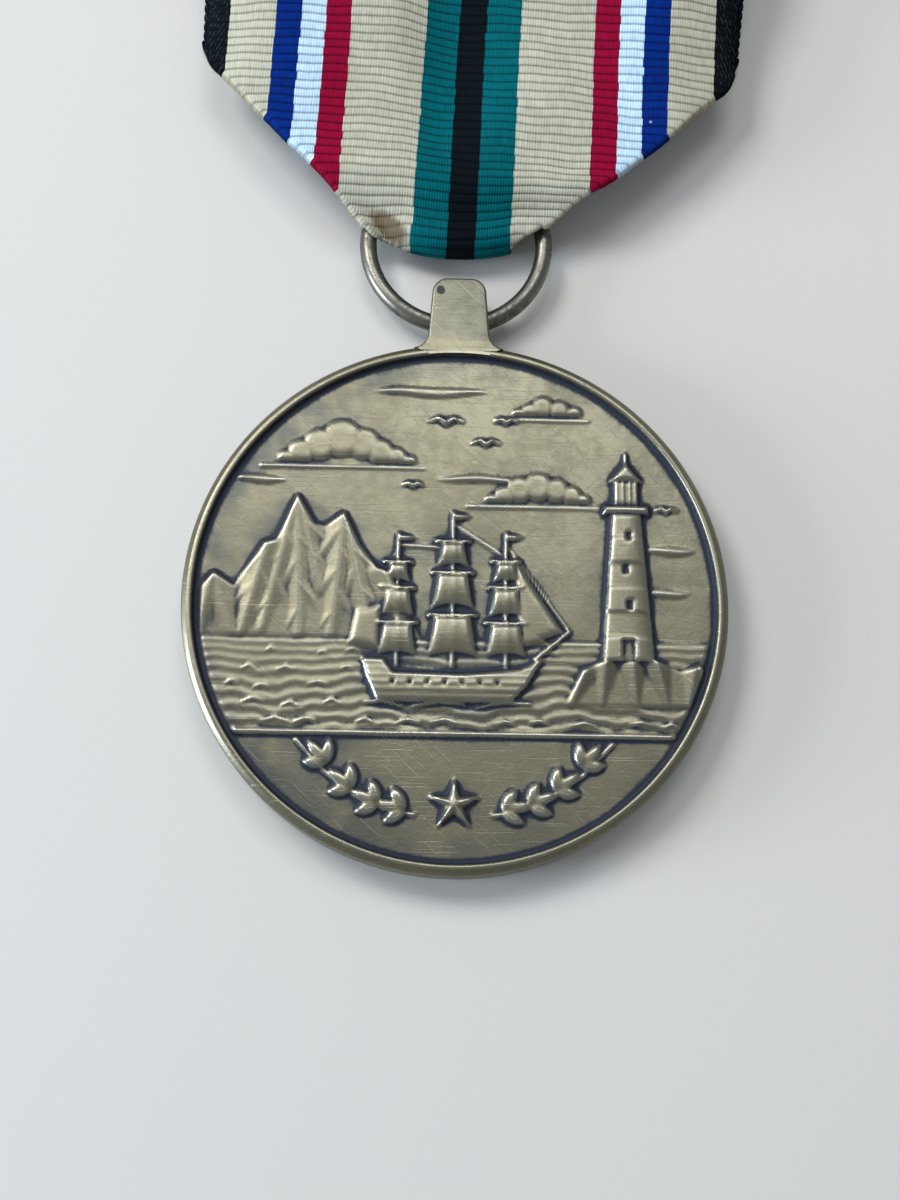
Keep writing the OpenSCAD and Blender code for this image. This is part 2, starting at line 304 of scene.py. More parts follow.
def makeStudio(setup):
    floorMaterial, tree, shader = newMaterial("paleFloor", Roughness=0.8)
    shader.inputs["Base Color"].default_value = (*setup["floorColour"], 1)
    signs = ((-1, -1), (1, -1), (1, 1), (-1, 1))
    corners = [(x * setup["floorReach"], y * setup["floorReach"], -setup["floorDrop"]) for x, y in signs]
    floor = newObject("floor", meshFrom("floor", corners, [(0, 1, 2, 3)], False))
    floor.data.materials.append(floorMaterial)
    world = bpy.data.worlds.new("studio")
    bpy.context.scene.world = world
    world.use_nodes = True
    background = world.node_tree.nodes["Background"]
    background.inputs["Color"].default_value = (*setup["worldColour"], 1)
    background.inputs["Strength"].default_value = setup["worldStrength"]
    for name, lamp in setup["lamps"].items():
        makeLamp(name, setup["lampAim"], *lamp)
    bpy.context.scene.view_settings.view_transform = "Standard"


makeCamera(cameraSetup)
makeStudio(studio)
print("camera, floor and lamps made")

medalLow, medalHigh = boxInMm("medallion")
discRadius = (medalHigh[0] - medalLow[0]) / 2
discThickness = medalHigh[2]
tabTop = medalHigh[1]
medalShape = {
    "rimWidth": 0.6,
    "rimSlope": 0.12,
    "edgeChamfer": 0.3,
    "frontSink": 0.45,
    "backSink": 0.35,
    "tabletRadius": 6.0,  # blank round tablet on the back
    "stemRadius": 10.64,  # circle that the wreath grows along
    "tabWidth": 3.7,
    "tabTaper": 0.4,
    "tabInset": 0.02,
    "tabProud": 0.004,
    "tabRoot": (2.3, 0.42),  # half width, and how far inside the disc's edge
    "tabCorner": 0.95,
    "tabFlare": 1.0,
    "tabBevel": 0.14,
    "holeSize": 1.6,
    "holeDrop": 2.42,
    "fieldFade": (1.2, 0.85),  # the relief fades out between these distances from the edge
    "frontRings": 136,
    "backRings": 68,
    "sheetStep": 0.045,
}
sceneShape = {
    "horizon": -2.4,
    "waterline": -6.2,
    "exergue": -7.9,
    "hills": [
        (-16, -2.4), (-15.2, 0.2), (-14.1, 1.5), (-12.9, 0.7), (-11.3, 3.3), (-10.6, 3.5), (-9.4, 6.4),
        (-8.3, 4.5), (-7.7, 4.4), (-6.6, 5.3), (-5.6, 3.2), (-4.6, 1.9), (-3.8, 1.6), (-2, -2.4),
    ],
    "spurs": [
        ((-14.1, 1.4), (-15.0, -2.4)), ((-14.1, 1.4), (-12.9, -2.3)), ((-11.0, 3.3), (-12.4, -2.2)),
        ((-9.4, 6.3), (-11.2, -1.9)), ((-9.4, 6.3), (-9.0, -2.4)), ((-9.4, 6.3), (-7.9, 0.4)),
        ((-6.6, 5.2), (-7.2, -2.3)), ((-6.6, 5.2), (-5.0, -2.2)), ((-4.2, 1.7), (-3.0, -2.4)),
    ],
    "rocks": [(6.2, -6.2), (7.3, -4), (8.6, -3.4), (11.2, -3.2), (13, -4), (14.2, -3.6), (15.6, -6.2)],
    "rockSpurs": [
        ((7.4, -4.1), (6.6, -6.2)), ((8.6, -3.6), (8.4, -6.2)), ((10.2, -3.4), (10.4, -6.2)),
        ((11.6, -3.5), (12.2, -6.2)), ((13.8, -3.9), (13.4, -6.2)), ((14.2, -3.8), (15.2, -6.2)),
    ],
    "clouds": [
        (8.3, [
            (-10.2, 8.5, 0.5), (-9.3, 8.9, 0.8), (-8.2, 9.4, 1.0), (-6.9, 9.8, 1.2), (-5.6, 9.5, 1.0),
            (-4.6, 9.0, 0.8), (-3.6, 8.7, 0.6), (-2.8, 8.4, 0.4),
        ]),
        (6.0, [
            (2.0, 6.1, 0.4), (2.8, 6.4, 0.6), (3.7, 6.8, 0.8), (4.8, 7.0, 0.9), (5.9, 6.8, 0.75),
            (6.8, 6.5, 0.6), (7.5, 6.2, 0.4),
        ]),
        (11.5, [
            (3.6, 11.6, 0.35), (4.3, 11.8, 0.5), (5.1, 12.1, 0.65), (6.1, 11.9, 0.6), (7.0, 11.7, 0.45),
        ]),
    ],
    "streaks": [
        (-1.6, 12.9, 3.6, 0.3), (1.2, 7.4, 2.6, 0.22), (-11.6, 7.2, 1.6, 0.24),
        (12.6, 3.2, 1.5, 0.24), (12.4, 0.6, 1.3, 0.2),
    ],
    "gulls": [(-0.7, 10.9, 0.95), (1.7, 9.6, 0.75), (2.9, 11.0, 0.6), (-2.6, 6.9, 0.55), (12.4, 5.6, 0.6)],
    "lighthouse": (10, -3.6),
    "windows": [(0, 0.7, 0.42, 0.7), (0.1, 3.4, 0.24, 0.34), (-0.1, 5.6, 0.22, 0.32), (0.1, 7.6, 0.2, 0.3)],
    "masts": [(-3.4, 0.8), (-0.2, 1.0), (2.9, 0.82)],
    # the ship's parts stand on the waterline, the flag on its mast's top
    "flag": [(0, -0.05), (0, -0.5), (0.55, -0.42), (1.15, -0.2), (0.5, -0.12)],
    "jibs": [[(6.3, 4.3), (3.3, 9.0), (3.65, 3.3)], [(5.3, 3.7), (3.5, 6.6), (3.85, 3.3)]],
    "spanker": [(-4.3, 3.0), (-6.3, 3.4), (-5.9, 5.6), (-4.2, 6.0)],
    "hull": [
        (-5.5, 2.75), (-5.2, 1.6), (-4.5, 0), (3.2, 0), (4.2, 1.1),
        (5.3, 3.0), (3.7, 2.2), (0.5, 1.85), (-3.5, 1.95), (-4.1, 2.7),
    ],
    "foam": [((-5.2, 0.05), (-3.0, -0.15)), ((-2.4, -0.12), (0.6, -0.02)), ((1.2, -0.15), (4.4, 0.1))],
    "starPlace": (0, -11.9),
    "starSize": 1.6,
}


class ReliefSheet:
    # heights on a square grid that covers the disc

    def __init__(self, reach, step):
        self.reach = reach
        self.step = step
        self.line = np.arange(-reach, reach + step / 2, step)
        self.x, self.y = np.meshgrid(self.line, self.line)
        self.height = np.zeros_like(self.x)

    def near(self, points, margin=0.4):
        points = np.asarray(points, float)
        first = np.searchsorted(self.line, points.min(axis=0) - margin)
        last = np.searchsorted(self.line, points.max(axis=0) + margin)
        where = (slice(first[1], last[1]), slice(first[0], last[0]))
        return where, self.x[where], self.y[where]

    def cover(self, where, height):
        self.height[where] = np.maximum(self.height[where], height)

    def softened(self, size, field=None):
        field = self.height if field is None else field
        turns = np.fft.fftfreq(len(self.line), self.step)
        across = np.exp(-2 * (math.pi * size * turns) ** 2)
        half = across[: field.shape[1] // 2 + 1]
        return np.fft.irfft2(np.fft.rfft2(field) * across[:, None] * half[None, :], field.shape)

    def sample(self, field, x, y):
        column = np.clip((x + self.reach) / self.step, 0, len(self.line) - 1.001)
        row = np.clip((y + self.reach) / self.step, 0, len(self.line) - 1.001)
        c, r = column.astype(int), row.astype(int)
        dc, dr = column - c, row - r
        low = field[r, c] * (1 - dc) + field[r, c + 1] * dc
        high = field[r + 1, c] * (1 - dc) + field[r + 1, c + 1] * dc
        return low * (1 - dr) + high * dr


def alongLine(x, y, start, end):
    # share along a line, and distance from it
    dx, dy = end[0] - start[0], end[1] - start[1]
    share = np.clip(((x - start[0]) * dx + (y - start[1]) * dy) / (dx * dx + dy * dy), 0, 1)
    return share, np.hypot(x - start[0] - dx * share, y - start[1] - dy * share)


def polygonDepth(x, y, corners):
    # distance inside an outline, negative outside it
    nearest = np.full(x.shape, 1e9)
    inside = np.zeros(x.shape, bool)
    for start, end in zip(corners, corners[1:] + corners[:1]):
        nearest = np.minimum(nearest, alongLine(x, y, start, end)[1])
        if start[1] != end[1]:
            crossing = start[0] + (end[0] - start[0]) * (y - start[1]) / (end[1] - start[1])
            inside ^= ((start[1] > y) != (end[1] > y)) & (x < crossing)
    return np.where(inside, nearest, -nearest)


def leafDepth(x, y, place, turn, length, width):
    # pointed oval whose stalk is at the place; returns depth, and along and across in the leaf
    c, s = math.cos(turn), math.sin(turn)
    along = (x - place[0]) * c + (y - place[1]) * s - length / 2
    across = -(x - place[0]) * s + (y - place[1]) * c
    radius = (length * length + width * width) / (4 * width)
    depth = radius - np.hypot(along, np.abs(across) + radius - width / 2)
    return depth, along + length / 2, across


def moved(points, x, y):
    return [(x + px, y + py) for px, py in points]


def block(place, low, high, lowHalf, highHalf):
    # outline of a straight-sided block that stands at a place
    return moved([(-lowHalf, low), (lowHalf, low), (highHalf, high), (-highHalf, high)], place, 0)


def dome(depth, height, reach):
    rise = np.clip(depth / reach, 0, 1)
    return height * np.sqrt(np.maximum(1 - (1 - rise) ** 2, 0))


def layBar(sheet, start, end, half, height, endHalf=None):
    where, x, y = sheet.near([start, end])
    share, distance = alongLine(x, y, start, end)
    reach = half + ((half if endHalf is None else endHalf) - half) * share
    sheet.cover(where, dome(reach - distance, height, reach))


def layPolygon(sheet, corners, height, reach):
    where, x, y = sheet.near(corners)
    sheet.cover(where, dome(polygonDepth(x, y, corners), height, reach))


def branched(spurs):
    # every ridge with shorter ones that leave it on both sides: its two ends and their heights
    made = []
    for start, end in spurs:
        made.append((start, end, 1.0, 0.5))
        dx, dy = end[0] - start[0], end[1] - start[1]
        for number, share in enumerate((0.12, 0.3, 0.46, 0.62, 0.8)):
            turn = 0.62 if number % 2 else -0.55
            size = 0.42 * (1 - 0.6 * share)
            foot = (start[0] + dx * share, start[1] + dy * share)
            swungX = (dx * math.cos(turn) - dy * math.sin(turn)) * size
            swungY = (dx * math.sin(turn) + dy * math.cos(turn)) * size
            made.append((foot, (foot[0] + swungX, foot[1] + swungY), 1 - 0.5 * share, 0.4 - 0.2 * share))
    return made


def layRidges(sheet, outline, spurs, base, crest, fall, reach):
    # rock or hill: sharp ridges that run down from the peaks
    where, x, y = sheet.near(outline)
    ridges = np.full(x.shape, base)
    for start, end, high, low in branched(spurs):
        share, distance = alongLine(x, y, start, end)
        ridges = np.maximum(ridges, crest * (high + (low - high) * share) - fall * distance)
    rise = np.clip(polygonDepth(x, y, outline) / reach, 0, 1)
    sheet.cover(where, ridges * np.sqrt(1 - (1 - rise) ** 2))


def laySea(sheet, shape):
    top, bottom = shape["horizon"], shape["exergue"]
    where, x, y = sheet.near([(-sheet.reach, bottom), (sheet.reach, top)], 0.1)
    band = ease(0, 1, bottom, bottom + 0.15, y) * ease(1, 0, top - 0.12, top + 0.04, y)
    nearness = ease(1, 0.35, bottom, top, y)
    sway = 0.24 * np.sin(x * 0.55 + 1) + 0.1 * np.sin(x * 1.7 + y) + 0.04 * np.sin(x * 4.1 - y)
    swell = np.sin((y + sway * nearness) * 2 * math.pi / (0.4 + 0.16 * nearness))
    sheet.height[where] += band * (0.09 + 0.018 * swell * (0.5 + nearness))
    for row in range(5):
        level = bottom + 0.6 + row * 1.0
        for number in range(11):
            place = -13.2 + number * 2.6 + (row % 2) * 1.3 + 0.5 * math.sin(number * 2.3 + row)
            size = 1.3 - 0.15 * row + 0.25 * math.sin(number * 1.7 + row * 2.1)
            foot = level + 0.12 * math.sin(number * 3.1 + row)
            atRocks = place > 5.8 and level > -6.4
            atShip = abs(place) < 5.4 and level > -6.6
            if abs(place) + size < 14 and not atRocks and not atShip:
                ends = (place - size / 2, foot), (place + size / 2, foot)
                layCrest(sheet, ends[0], (place, foot + 0.2), ends[1], 0.12 - 0.012 * row)


def layCrest(sheet, start, middle, end, height):
    # a wave's crest, thickest at its middle
    layBar(sheet, start, middle, 0.04, height + 0.1, 0.12)
    layBar(sheet, middle, end, 0.12, height + 0.1, 0.04)


def layClouds(sheet, shape):
    for base, puffs in shape["clouds"]:
        where, x, y = sheet.near([(px, py) for px, py, size in puffs], 2)
        cloud = np.zeros(x.shape)
        for px, py, size in puffs:
            depth = np.minimum(size - np.hypot(x - px, y - py), (y - base) * 0.8)
            cloud = np.maximum(cloud, dome(depth, 0.11 + 0.03 * size, 0.55 * size))
        sheet.cover(where, cloud)
        under = base - 0.28
        layBar(sheet, (puffs[0][0] - 1.4, under), (puffs[-1][0] + 0.9, under), 0.11, 0.09, 0.05)
    for px, py, half, height in shape["streaks"]:
        where, x, y = sheet.near([(px - half, py), (px + half, py)], 0.5)
        depth = height * (1 - ((x - px) / half) ** 2) - np.abs(y - py - 0.06 * np.sin(x * 1.3))
        sheet.cover(where, dome(depth, 0.1, 0.2))


def layGulls(sheet, shape):
    for px, py, size in shape["gulls"]:
        for side in (-1, 1):
            wrist = (px + side * size * 0.45, py + size * 0.34)
            tip = (px + side * size * 1.15, py + size * 0.1)
            layBar(sheet, (px, py), wrist, 0.13 * size + 0.05, 0.2, 0.12)
            layBar(sheet, wrist, tip, 0.12, 0.18, 0.04)


def layLighthouse(sheet, shape):
    place, foot = shape["lighthouse"]
    tower = block(place, foot, foot + 9, 1.6, 0.95)
    where, x, y = sheet.near(tower)
    half = np.interp(y, [foot, foot + 9], [1.6, 0.95])
    side = np.clip(np.abs(x - place) / half, 0, 1)
    inside = np.clip(polygonDepth(x, y, tower) / 0.12, 0, 1)
    bands = 0.03 * np.sign(np.sin((y - foot) * math.pi / 1.5))
    sheet.cover(where, inside * (0.14 + 0.26 * np.sqrt(1 - side**2) + bands))
    for px, py, wide, high in shape["windows"]:
        where, x, y = sheet.near([(place + px, foot + py)], 1.2)
        hole = np.minimum(wide - np.abs(x - place - px), high - np.abs(y - foot - py))
        sheet.height[where] -= 0.14 * ease(0, 1, -0.02, 0.12, hole)
    # gallery, lamp room with its bars, roof and spike
    layPolygon(sheet, block(place, foot + 8.95, foot + 9.5, 1.4, 1.3), 0.4, 0.16)
    layPolygon(sheet, block(place, foot + 9.5, foot + 11, 0.72, 0.72), 0.24, 0.14)
    for bar in (-0.62, -0.2, 0.2, 0.62):
        layBar(sheet, (place + bar, foot + 9.6), (place + bar, foot + 10.9), 0.08, 0.34)
    layPolygon(sheet, moved([(-1.05, 10.95), (1.05, 10.95), (0, 12.3)], place, foot), 0.36, 0.35)
    layBar(sheet, (place, foot + 12.2), (place, foot + 12.8), 0.1, 0.26, 0.06)


def laySail(sheet, place, foot, width, height):
    head = width * 0.38
    corners = block(place, foot, foot + height, width / 2, head)
    where, x, y = sheet.near(corners)
    sag = 0.16 * height * (1 - np.clip(2 * (x - place) / width, -1, 1) ** 2)
    rise = np.clip((y - foot) / height, 0, 1)
    half = width / 2 + (head - width / 2) * rise
    depth = np.minimum(polygonDepth(x, y, corners), y - foot - 0.6 * sag)
    aside = (x - place) / half
    belly = np.sqrt(np.clip(1 - aside**2, 0, 1)) * np.sin(math.pi * (0.25 + 0.7 * (1 - rise)))
    seams = 0.012 * np.cos(aside * math.pi * 3)
    sheet.cover(where, np.clip(depth / 0.14, 0, 1) * (0.13 + 0.24 * belly + seams))
    yard = foot + height + 0.06
    layBar(sheet, (place - head - 0.22, yard), (place + head + 0.22, yard), 0.1, 0.33)


def layShip(sheet, shape):
    line = shape["waterline"]
    tops = []
    for place, size in shape["masts"]:
        top = line + 5.7 + 6.7 * size - 0.9
        tops.append((place, top))
        layBar(sheet, (place, line + 2.2), (place, top), 0.14, 0.24, 0.1)
        laySail(sheet, place, line + 2.75, 3 * size, 2.45 * size)
        laySail(sheet, place, line + 2.95 + 2.7 * size, 2.5 * size, 2.1 * size)
        laySail(sheet, place, line + 3.15 + 5 * size, 1.9 * size, 1.5 * size)
        layPolygon(sheet, moved(shape["flag"], place, top), 0.2, 0.12)
    bow = (6.6, line + 4.4)
    layBar(sheet, (4.6, line + 2.7), bow, 0.13, 0.3, 0.08)
    for jib in shape["jibs"]:
        layPolygon(sheet, moved(jib, 0, line), 0.24, 0.5)
    layPolygon(sheet, moved(shape["spanker"], 0, line), 0.24, 0.6)
    # stays run aft of the first mast, from mast to mast and down to the bow
    heads = [(x, y - 0.7) for x, y in tops]
    ends = [(-5.6, line + 2.8), (tops[1][0], tops[1][1] - 2.2), (tops[2][0], tops[2][1] - 1.5), bow]
    for start, end in zip((heads[0], *heads), ends):
        layBar(sheet, start, end, 0.075, 0.09)
    hull = moved(shape["hull"], 0, line)
    where, x, y = sheet.near(hull)
    depth = polygonDepth(x, y, hull)
    strakes = 0.016 * np.cos((y - line) * 2 * math.pi / 0.42)
    body = 0.3 + 0.1 * np.sin(np.clip((y - line) / 2.2, 0, 1) * math.pi) + strakes
    sheet.cover(where, np.clip(depth / 0.16, 0, 1) * body)
    for number in range(7):
        where, x, y = sheet.near([(-3.6 + number, line + 1.25)], 0.5)
        port = np.minimum(0.17 - np.abs(x + 3.6 - number), 0.15 - np.abs(y - line - 1.25))
        sheet.height[where] -= 0.1 * ease(0, 1, -0.02, 0.1, port)
    # broken water along the waterline
    for foam in shape["foam"]:
        start, end = moved(foam, 0, line)
        layCrest(sheet, start, ((start[0] + end[0]) / 2, line + 0.12), end, 0.2)


def layStar(sheet, place, size):
    where, x, y = sheet.near([place], size + 0.4)
    tips = [size if number % 2 == 0 else size * 0.4 for number in range(10)]
    turns = [math.radians(36 * number) for number in range(10)]
    corners = [(place[0] + r * math.sin(a), place[1] + r * math.cos(a)) for r, a in zip(tips, turns)]
    ridge = np.full(x.shape, 9.0)
    for number in range(0, 10, 2):
        ridge = np.minimum(ridge, alongLine(x, y, place, corners[number])[1])
    depth = polygonDepth(x, y, corners)
    facets = depth / np.maximum(depth + ridge, 1e-6)
    sheet.cover(where, np.clip(depth / 0.08, 0, 1) * (0.1 + 0.3 * facets))


def laySprays(sheet, star):
    for side in (-1, 1):
        stem = [(side * (2.2 + 1.7 * i), star[1] - 0.6 + 0.26 * i * i) for i in range(6)]
        for start, end in zip(stem[:4], stem[1:5]):
            layBar(sheet, start, end, 0.1, 0.16, 0.09)
        for number in range(4):
            root = (side * (2.7 + 1.5 * number), star[1] - 0.35 + 0.28 * number * number)
            heading = math.radians(15 + 12 * number)
            for swing, length in ((0.0, 1.8), (0.75, 1.55), (-0.75, 1.4)):
                turn = heading + swing
                if side < 0:
                    turn = math.pi - turn
                where, x, y = sheet.near([root], 2.2)
                depth, along, across = leafDepth(x, y, root, turn, length, 0.74)
                vein = 0.05 * np.exp(-((across / 0.07) ** 2))
                sheet.cover(where, dome(depth, 0.27, 0.3) - vein * (depth > 0.08))


def drawFront(sheet, shape):
    laySea(sheet, shape)
    layClouds(sheet, shape)
    layGulls(sheet, shape)
    layRidges(sheet, shape["hills"], shape["spurs"], 0.09, 0.32, 0.17, 0.16)
    layRidges(sheet, shape["rocks"], shape["rockSpurs"], 0.14, 0.36, 0.26, 0.16)
    layLighthouse(sheet, shape)
    layShip(sheet, shape)
    layBar(sheet, (-13.4, shape["exergue"]), (13.4, shape["exergue"]), 0.16, 0.22)
    layStar(sheet, shape["starPlace"], shape["starSize"])
    laySprays(sheet, shape["starPlace"])
    sheet.height = sheet.softened(0.05)


def drawBack(sheet, shape):
    # bow where the two halves of the wreath are tied
    knot = -shape["stemRadius"]
    for side in (-1, 1):
        where, x, y = sheet.near([(0, knot)], 4)
        depth, along, across = leafDepth(x, y, (0, knot), math.radians(90 - side * 72), 3.0, 1.7)
        sheet.cover(where, dome(depth, 0.24, 0.3) - 0.16 * ease(0, 1, 0.25, 0.5, depth))
        layBar(sheet, (side * 0.1, knot), (side * 1.1, knot - 1.5), 0.22, 0.2, 0.3)
        layBar(sheet, (side * 1.1, knot - 1.5), (side * 2.3, knot - 2.6), 0.3, 0.2, 0.42)
    where, x, y = sheet.near([(0, knot)], 1)
    sheet.cover(where, dome(0.6 - np.hypot(x, y - knot), 0.32, 0.4))
    # the stems curve up from the knot and stop short of each other
    stems = dome(0.16 - np.abs(np.hypot(sheet.x, sheet.y) - shape["stemRadius"]), 0.12, 0.16)
    sheet.height = np.maximum(sheet.height, stems * (sheet.y < 0.97 * shape["stemRadius"]))
    sheet.height = sheet.softened(0.05)


def rimHeight(radius, sink, shape):
    # height of a face against its field, out to the chamfered edge
    inner = discRadius - shape["rimWidth"]
    outer = discRadius - shape["edgeChamfer"]
    rise = ease(0, sink, inner - shape["rimSlope"], inner + 0.02, radius)
    crown = 0.02 * np.clip((radius - inner) / (outer - inner), 0, 1)
    fall = np.maximum(radius - outer, 0)
    return rise - crown * 0.5 - fall


def inField(radius, shape):
    start, end = shape["fieldFade"]
    return ease(1, 0, discRadius - start, discRadius - end, radius)


def discRings(count, shape):
    inner = discRadius - shape["rimWidth"] - shape["rimSlope"]
    chamfer = discRadius - shape["edgeChamfer"]
    # rings close together over the rim, and even ones inside it
    last = [inner + step for step in (0, 0.05, 0.09, 0.14, 0.25)]
    last += [chamfer - 0.05, chamfer + 0.03, discRadius - 0.05, discRadius]
    start = count - len(last)
    return [(inner - 0.1) * (number + 1) / start for number in range(start)] + last


def discFaces(rings):
    # a square grid drawn out to a disc: ring k has 8k points and nothing but quads between
    def index(ring, step):
        return np.where(ring == 0, 0, 1 + 4 * ring * (ring - 1) + step % max(8 * ring, 1))

    faces = []
    for ring in range(rings):
        for side in range(4):
            corner = side * 2 * (ring + 1)
            inner = side * 2 * ring
            outer = [int(index(ring + 1, corner + step)) for step in (-1, 0, 1)]
            faces.append(np.array([[int(index(ring, inner)), *outer]]))
            steps = np.arange(2 * ring)
            if ring:
                faces.append(np.stack([
                    index(ring, inner + steps), index(ring + 1, corner + steps + 1),
                    index(ring + 1, corner + steps + 2), index(ring, inner + steps + 1),
                ], axis=-1))
    return np.concatenate(faces)


def discPoints(radii):
    x, y = [np.zeros(1)], [np.zeros(1)]
    for ring, radius in enumerate(radii, 1):
        turns = np.arange(8 * ring) * 2 * math.pi / (8 * ring)
        x.append(radius * np.cos(turns))
        y.append(radius * np.sin(turns))
    return np.concatenate(x), np.concatenate(y)


def makeDisc(frontSheet, backSheet, shape):
    parts = []
    for rings, sheet, sink, top in (
        (shape["frontRings"], frontSheet, shape["frontSink"], True),
        (shape["backRings"], backSheet, shape["backSink"], False),
    ):
        x, y = discPoints(discRings(rings, shape))
        radius = np.hypot(x, y)
        height = sheet.sample(sheet.height, x, y) * inField(radius, shape)
        if not top:
            edge = shape["tabletRadius"]
            height = np.maximum(height, ease(sink, 0, edge - 0.03, edge + 0.14, radius))
        height = height + rimHeight(radius, sink, shape) - sink
        z = discThickness + height if top else -height
        faces = discFaces(rings)
        parts.append((np.stack([x, y, z], axis=-1), faces if top else faces[:, ::-1]))
    (frontPoints, frontFaces), (backPoints, backFaces) = parts
    offset = len(frontPoints)
    faces = frontFaces.tolist() + (backFaces + offset).tolist()
    # the two faces meet at the edge, where the front has twice the back's points
    frontCount, backCount = 8 * shape["frontRings"], 8 * shape["backRings"]
    front, back = offset - frontCount, offset + len(backPoints) - backCount
    for step in range(backCount):
        first, second = front + 2 * step, front + 2 * step + 1
        third = front + (2 * step + 2) % frontCount
        faces.append([back + step, second, first])
        faces.append([back + step, back + (step + 1) % backCount, third, second])
    return meshFrom("medalDisc", np.concatenate([frontPoints, backPoints]), faces)


def arcPoints(centre, radius, start, end, count):
    turns = np.radians(np.linspace(start, end, count))
    return [(centre[0] + radius * math.cos(a), centre[1] + radius * math.sin(a)) for a in turns]


def makeTab(shape):
    half, topHalf = shape["tabWidth"] / 2, (shape["tabWidth"] - shape["tabTaper"]) / 2
    flareX = half + shape["tabFlare"]
    flareY = math.sqrt((discRadius + shape["tabFlare"]) ** 2 - flareX**2)
    corner = shape["tabCorner"]
    touch = math.degrees(math.atan2(-flareY, -flareX)) % 360
    side = [(shape["tabRoot"][0], discRadius - shape["tabRoot"][1])]
    side += arcPoints((flareX, flareY), shape["tabFlare"], touch, 180, 12)
    straight = tabTop - corner - flareY
    side += [(half + (topHalf - half) * step / 4, flareY + straight * step / 4) for step in (1, 2, 3)]
    side += arcPoints((topHalf - corner, tabTop - corner), corner, 0, 84, 10)
    outline = side + [(-x, y) for x, y in side[::-1]]
    low = shape["tabInset"]
    thickness = discThickness - low + shape["tabProud"]
    count = len(outline)
    points = [(x, y, low + z) for z in (0, thickness) for x, y in outline]
    faces = [tuple(range(count))[::-1], tuple(range(count, 2 * count))]
    faces += [(k, (k + 1) % count, count + (k + 1) % count, count + k) for k in range(count)]
    mesh = meshFrom("medalTab", points, faces)
    clear = (discRadius - 0.5 * shape["rimWidth"]) * mm
    with meshEditor(mesh) as work:
        rims = []
        for edge in work.edges:
            first, second = (vert.co for vert in edge.verts)
            level = abs(first.z - second.z) < 1e-6
            if level and first.y + second.y > 2 * clear and edge.calc_face_angle() > 1.2:
                rims.append(edge)
        size = shape["tabBevel"] * mm
        bmesh.ops.bevel(work, geom=rims, offset=size, segments=3, profile=0.5, affect="EDGES")
    return mesh


def makeHole(shape):
    # a cylinder that runs through the tab from side to side
    mesh = bpy.data.meshes.new("tabHole")
    place = Vector((0, tabTop - shape["holeDrop"], ringCentre[2])) * mm
    turned = Matrix.Translation(place) @ Matrix.Rotation(math.pi / 2, 4, "Y")
    size = shape["holeSize"] / 2 * mm
    with meshEditor(mesh) as work:
        bmesh.ops.create_cone(
            work, cap_ends=True, segments=48, radius1=size, radius2=size, depth=10 * mm, matrix=turned,
        )
    return mesh


def combine(piece, mesh, operation):
    tool = newObject("cutter", mesh)
    change = piece.modifiers.new(operation, "BOOLEAN")
    change.operation = operation
    change.solver = "MANIFOLD"
    change.object = tool
    finishedMesh(piece)
    bpy.data.objects.remove(tool)


def pointsOf(mesh):
    points = np.empty(len(mesh.vertices) * 3)
    mesh.vertices.foreach_get("co", points)
    return points.reshape(-1, 3) / mm


def wearMaps(sheet, sink, shape):
    # how deep a point lies against what is round it, and how proud
    radius = np.hypot(sheet.x, sheet.y)
    rim = rimHeight(np.minimum(radius, discRadius - shape["edgeChamfer"]), sink, shape)
    whole = sheet.height * inField(radius, shape) + rim
    close, wide = sheet.softened(0.14, whole), sheet.softened(0.4, whole)
    cavity = 0.75 * np.clip((close - whole) / 0.035, 0, 1)
    cavity += 0.5 * np.clip((wide - whole - 0.005) / 0.11, 0, 1)
    proud = np.clip((whole - close) / 0.04, 0, 1) * ease(1, 0.3, discRadius - 1, discRadius - 0.8, radius)
    wash = np.clip((sheet.softened(0.9, whole) - whole) / 0.07, 0, 1)
    return np.clip(cavity, 0, 1), proud, sheet.softened(0.15, wash)


def makeMedal():
    frontSheet = ReliefSheet(discRadius + 0.4, medalShape["sheetStep"])
    backSheet = ReliefSheet(discRadius + 0.4, medalShape["sheetStep"] * 2)
    drawFront(frontSheet, sceneShape)
    drawBack(backSheet, medalShape)
    medal = newObject("medalBody", makeDisc(frontSheet, backSheet, medalShape))
    combine(medal, makeTab(medalShape), "UNION")
    combine(medal, makeHole(medalShape), "DIFFERENCE")
    mesh = medal.data
    mesh.shade_smooth()
    x, y, z = pointsOf(mesh).T
    frontMaps = wearMaps(frontSheet, medalShape["frontSink"], medalShape)
    backMaps = wearMaps(backSheet, medalShape["backSink"], medalShape)
    front = z > discThickness / 2
    onFace = np.hypot(x, y) < discRadius - 0.02
    relief = [
        np.where(front, frontSheet.sample(frontMap, x, y), backSheet.sample(backMap, x, y)) * onFace
        for frontMap, backMap in zip(frontMaps, backMaps)
    ]
    addPointValues(mesh, "relief", np.stack(relief, axis=-1))
    # the tab keeps its crisp edges
    with meshEditor(mesh) as work:
        for edge in work.edges:
            if edge.verts[0].co.y > (discRadius - 0.7) * mm and abs(edge.verts[0].co.x) < 3 * mm:
                edge.smooth = edge.calc_face_angle(0) < 0.6
    return medal


bronzeShape = {
    "khaki": (0.214, 0.203, 0.142),
    "brown": (0.148, 0.138, 0.092),
    "patina": (0.012, 0.018, 0.036),
    "washed": (0.08, 0.088, 0.09),
    "worn": (0.46, 0.47, 0.44),
    "roughness": 0.36,
    "pitPlace": (-1.12, 19.41, 2.78),
    "pitSize": 0.27,
}


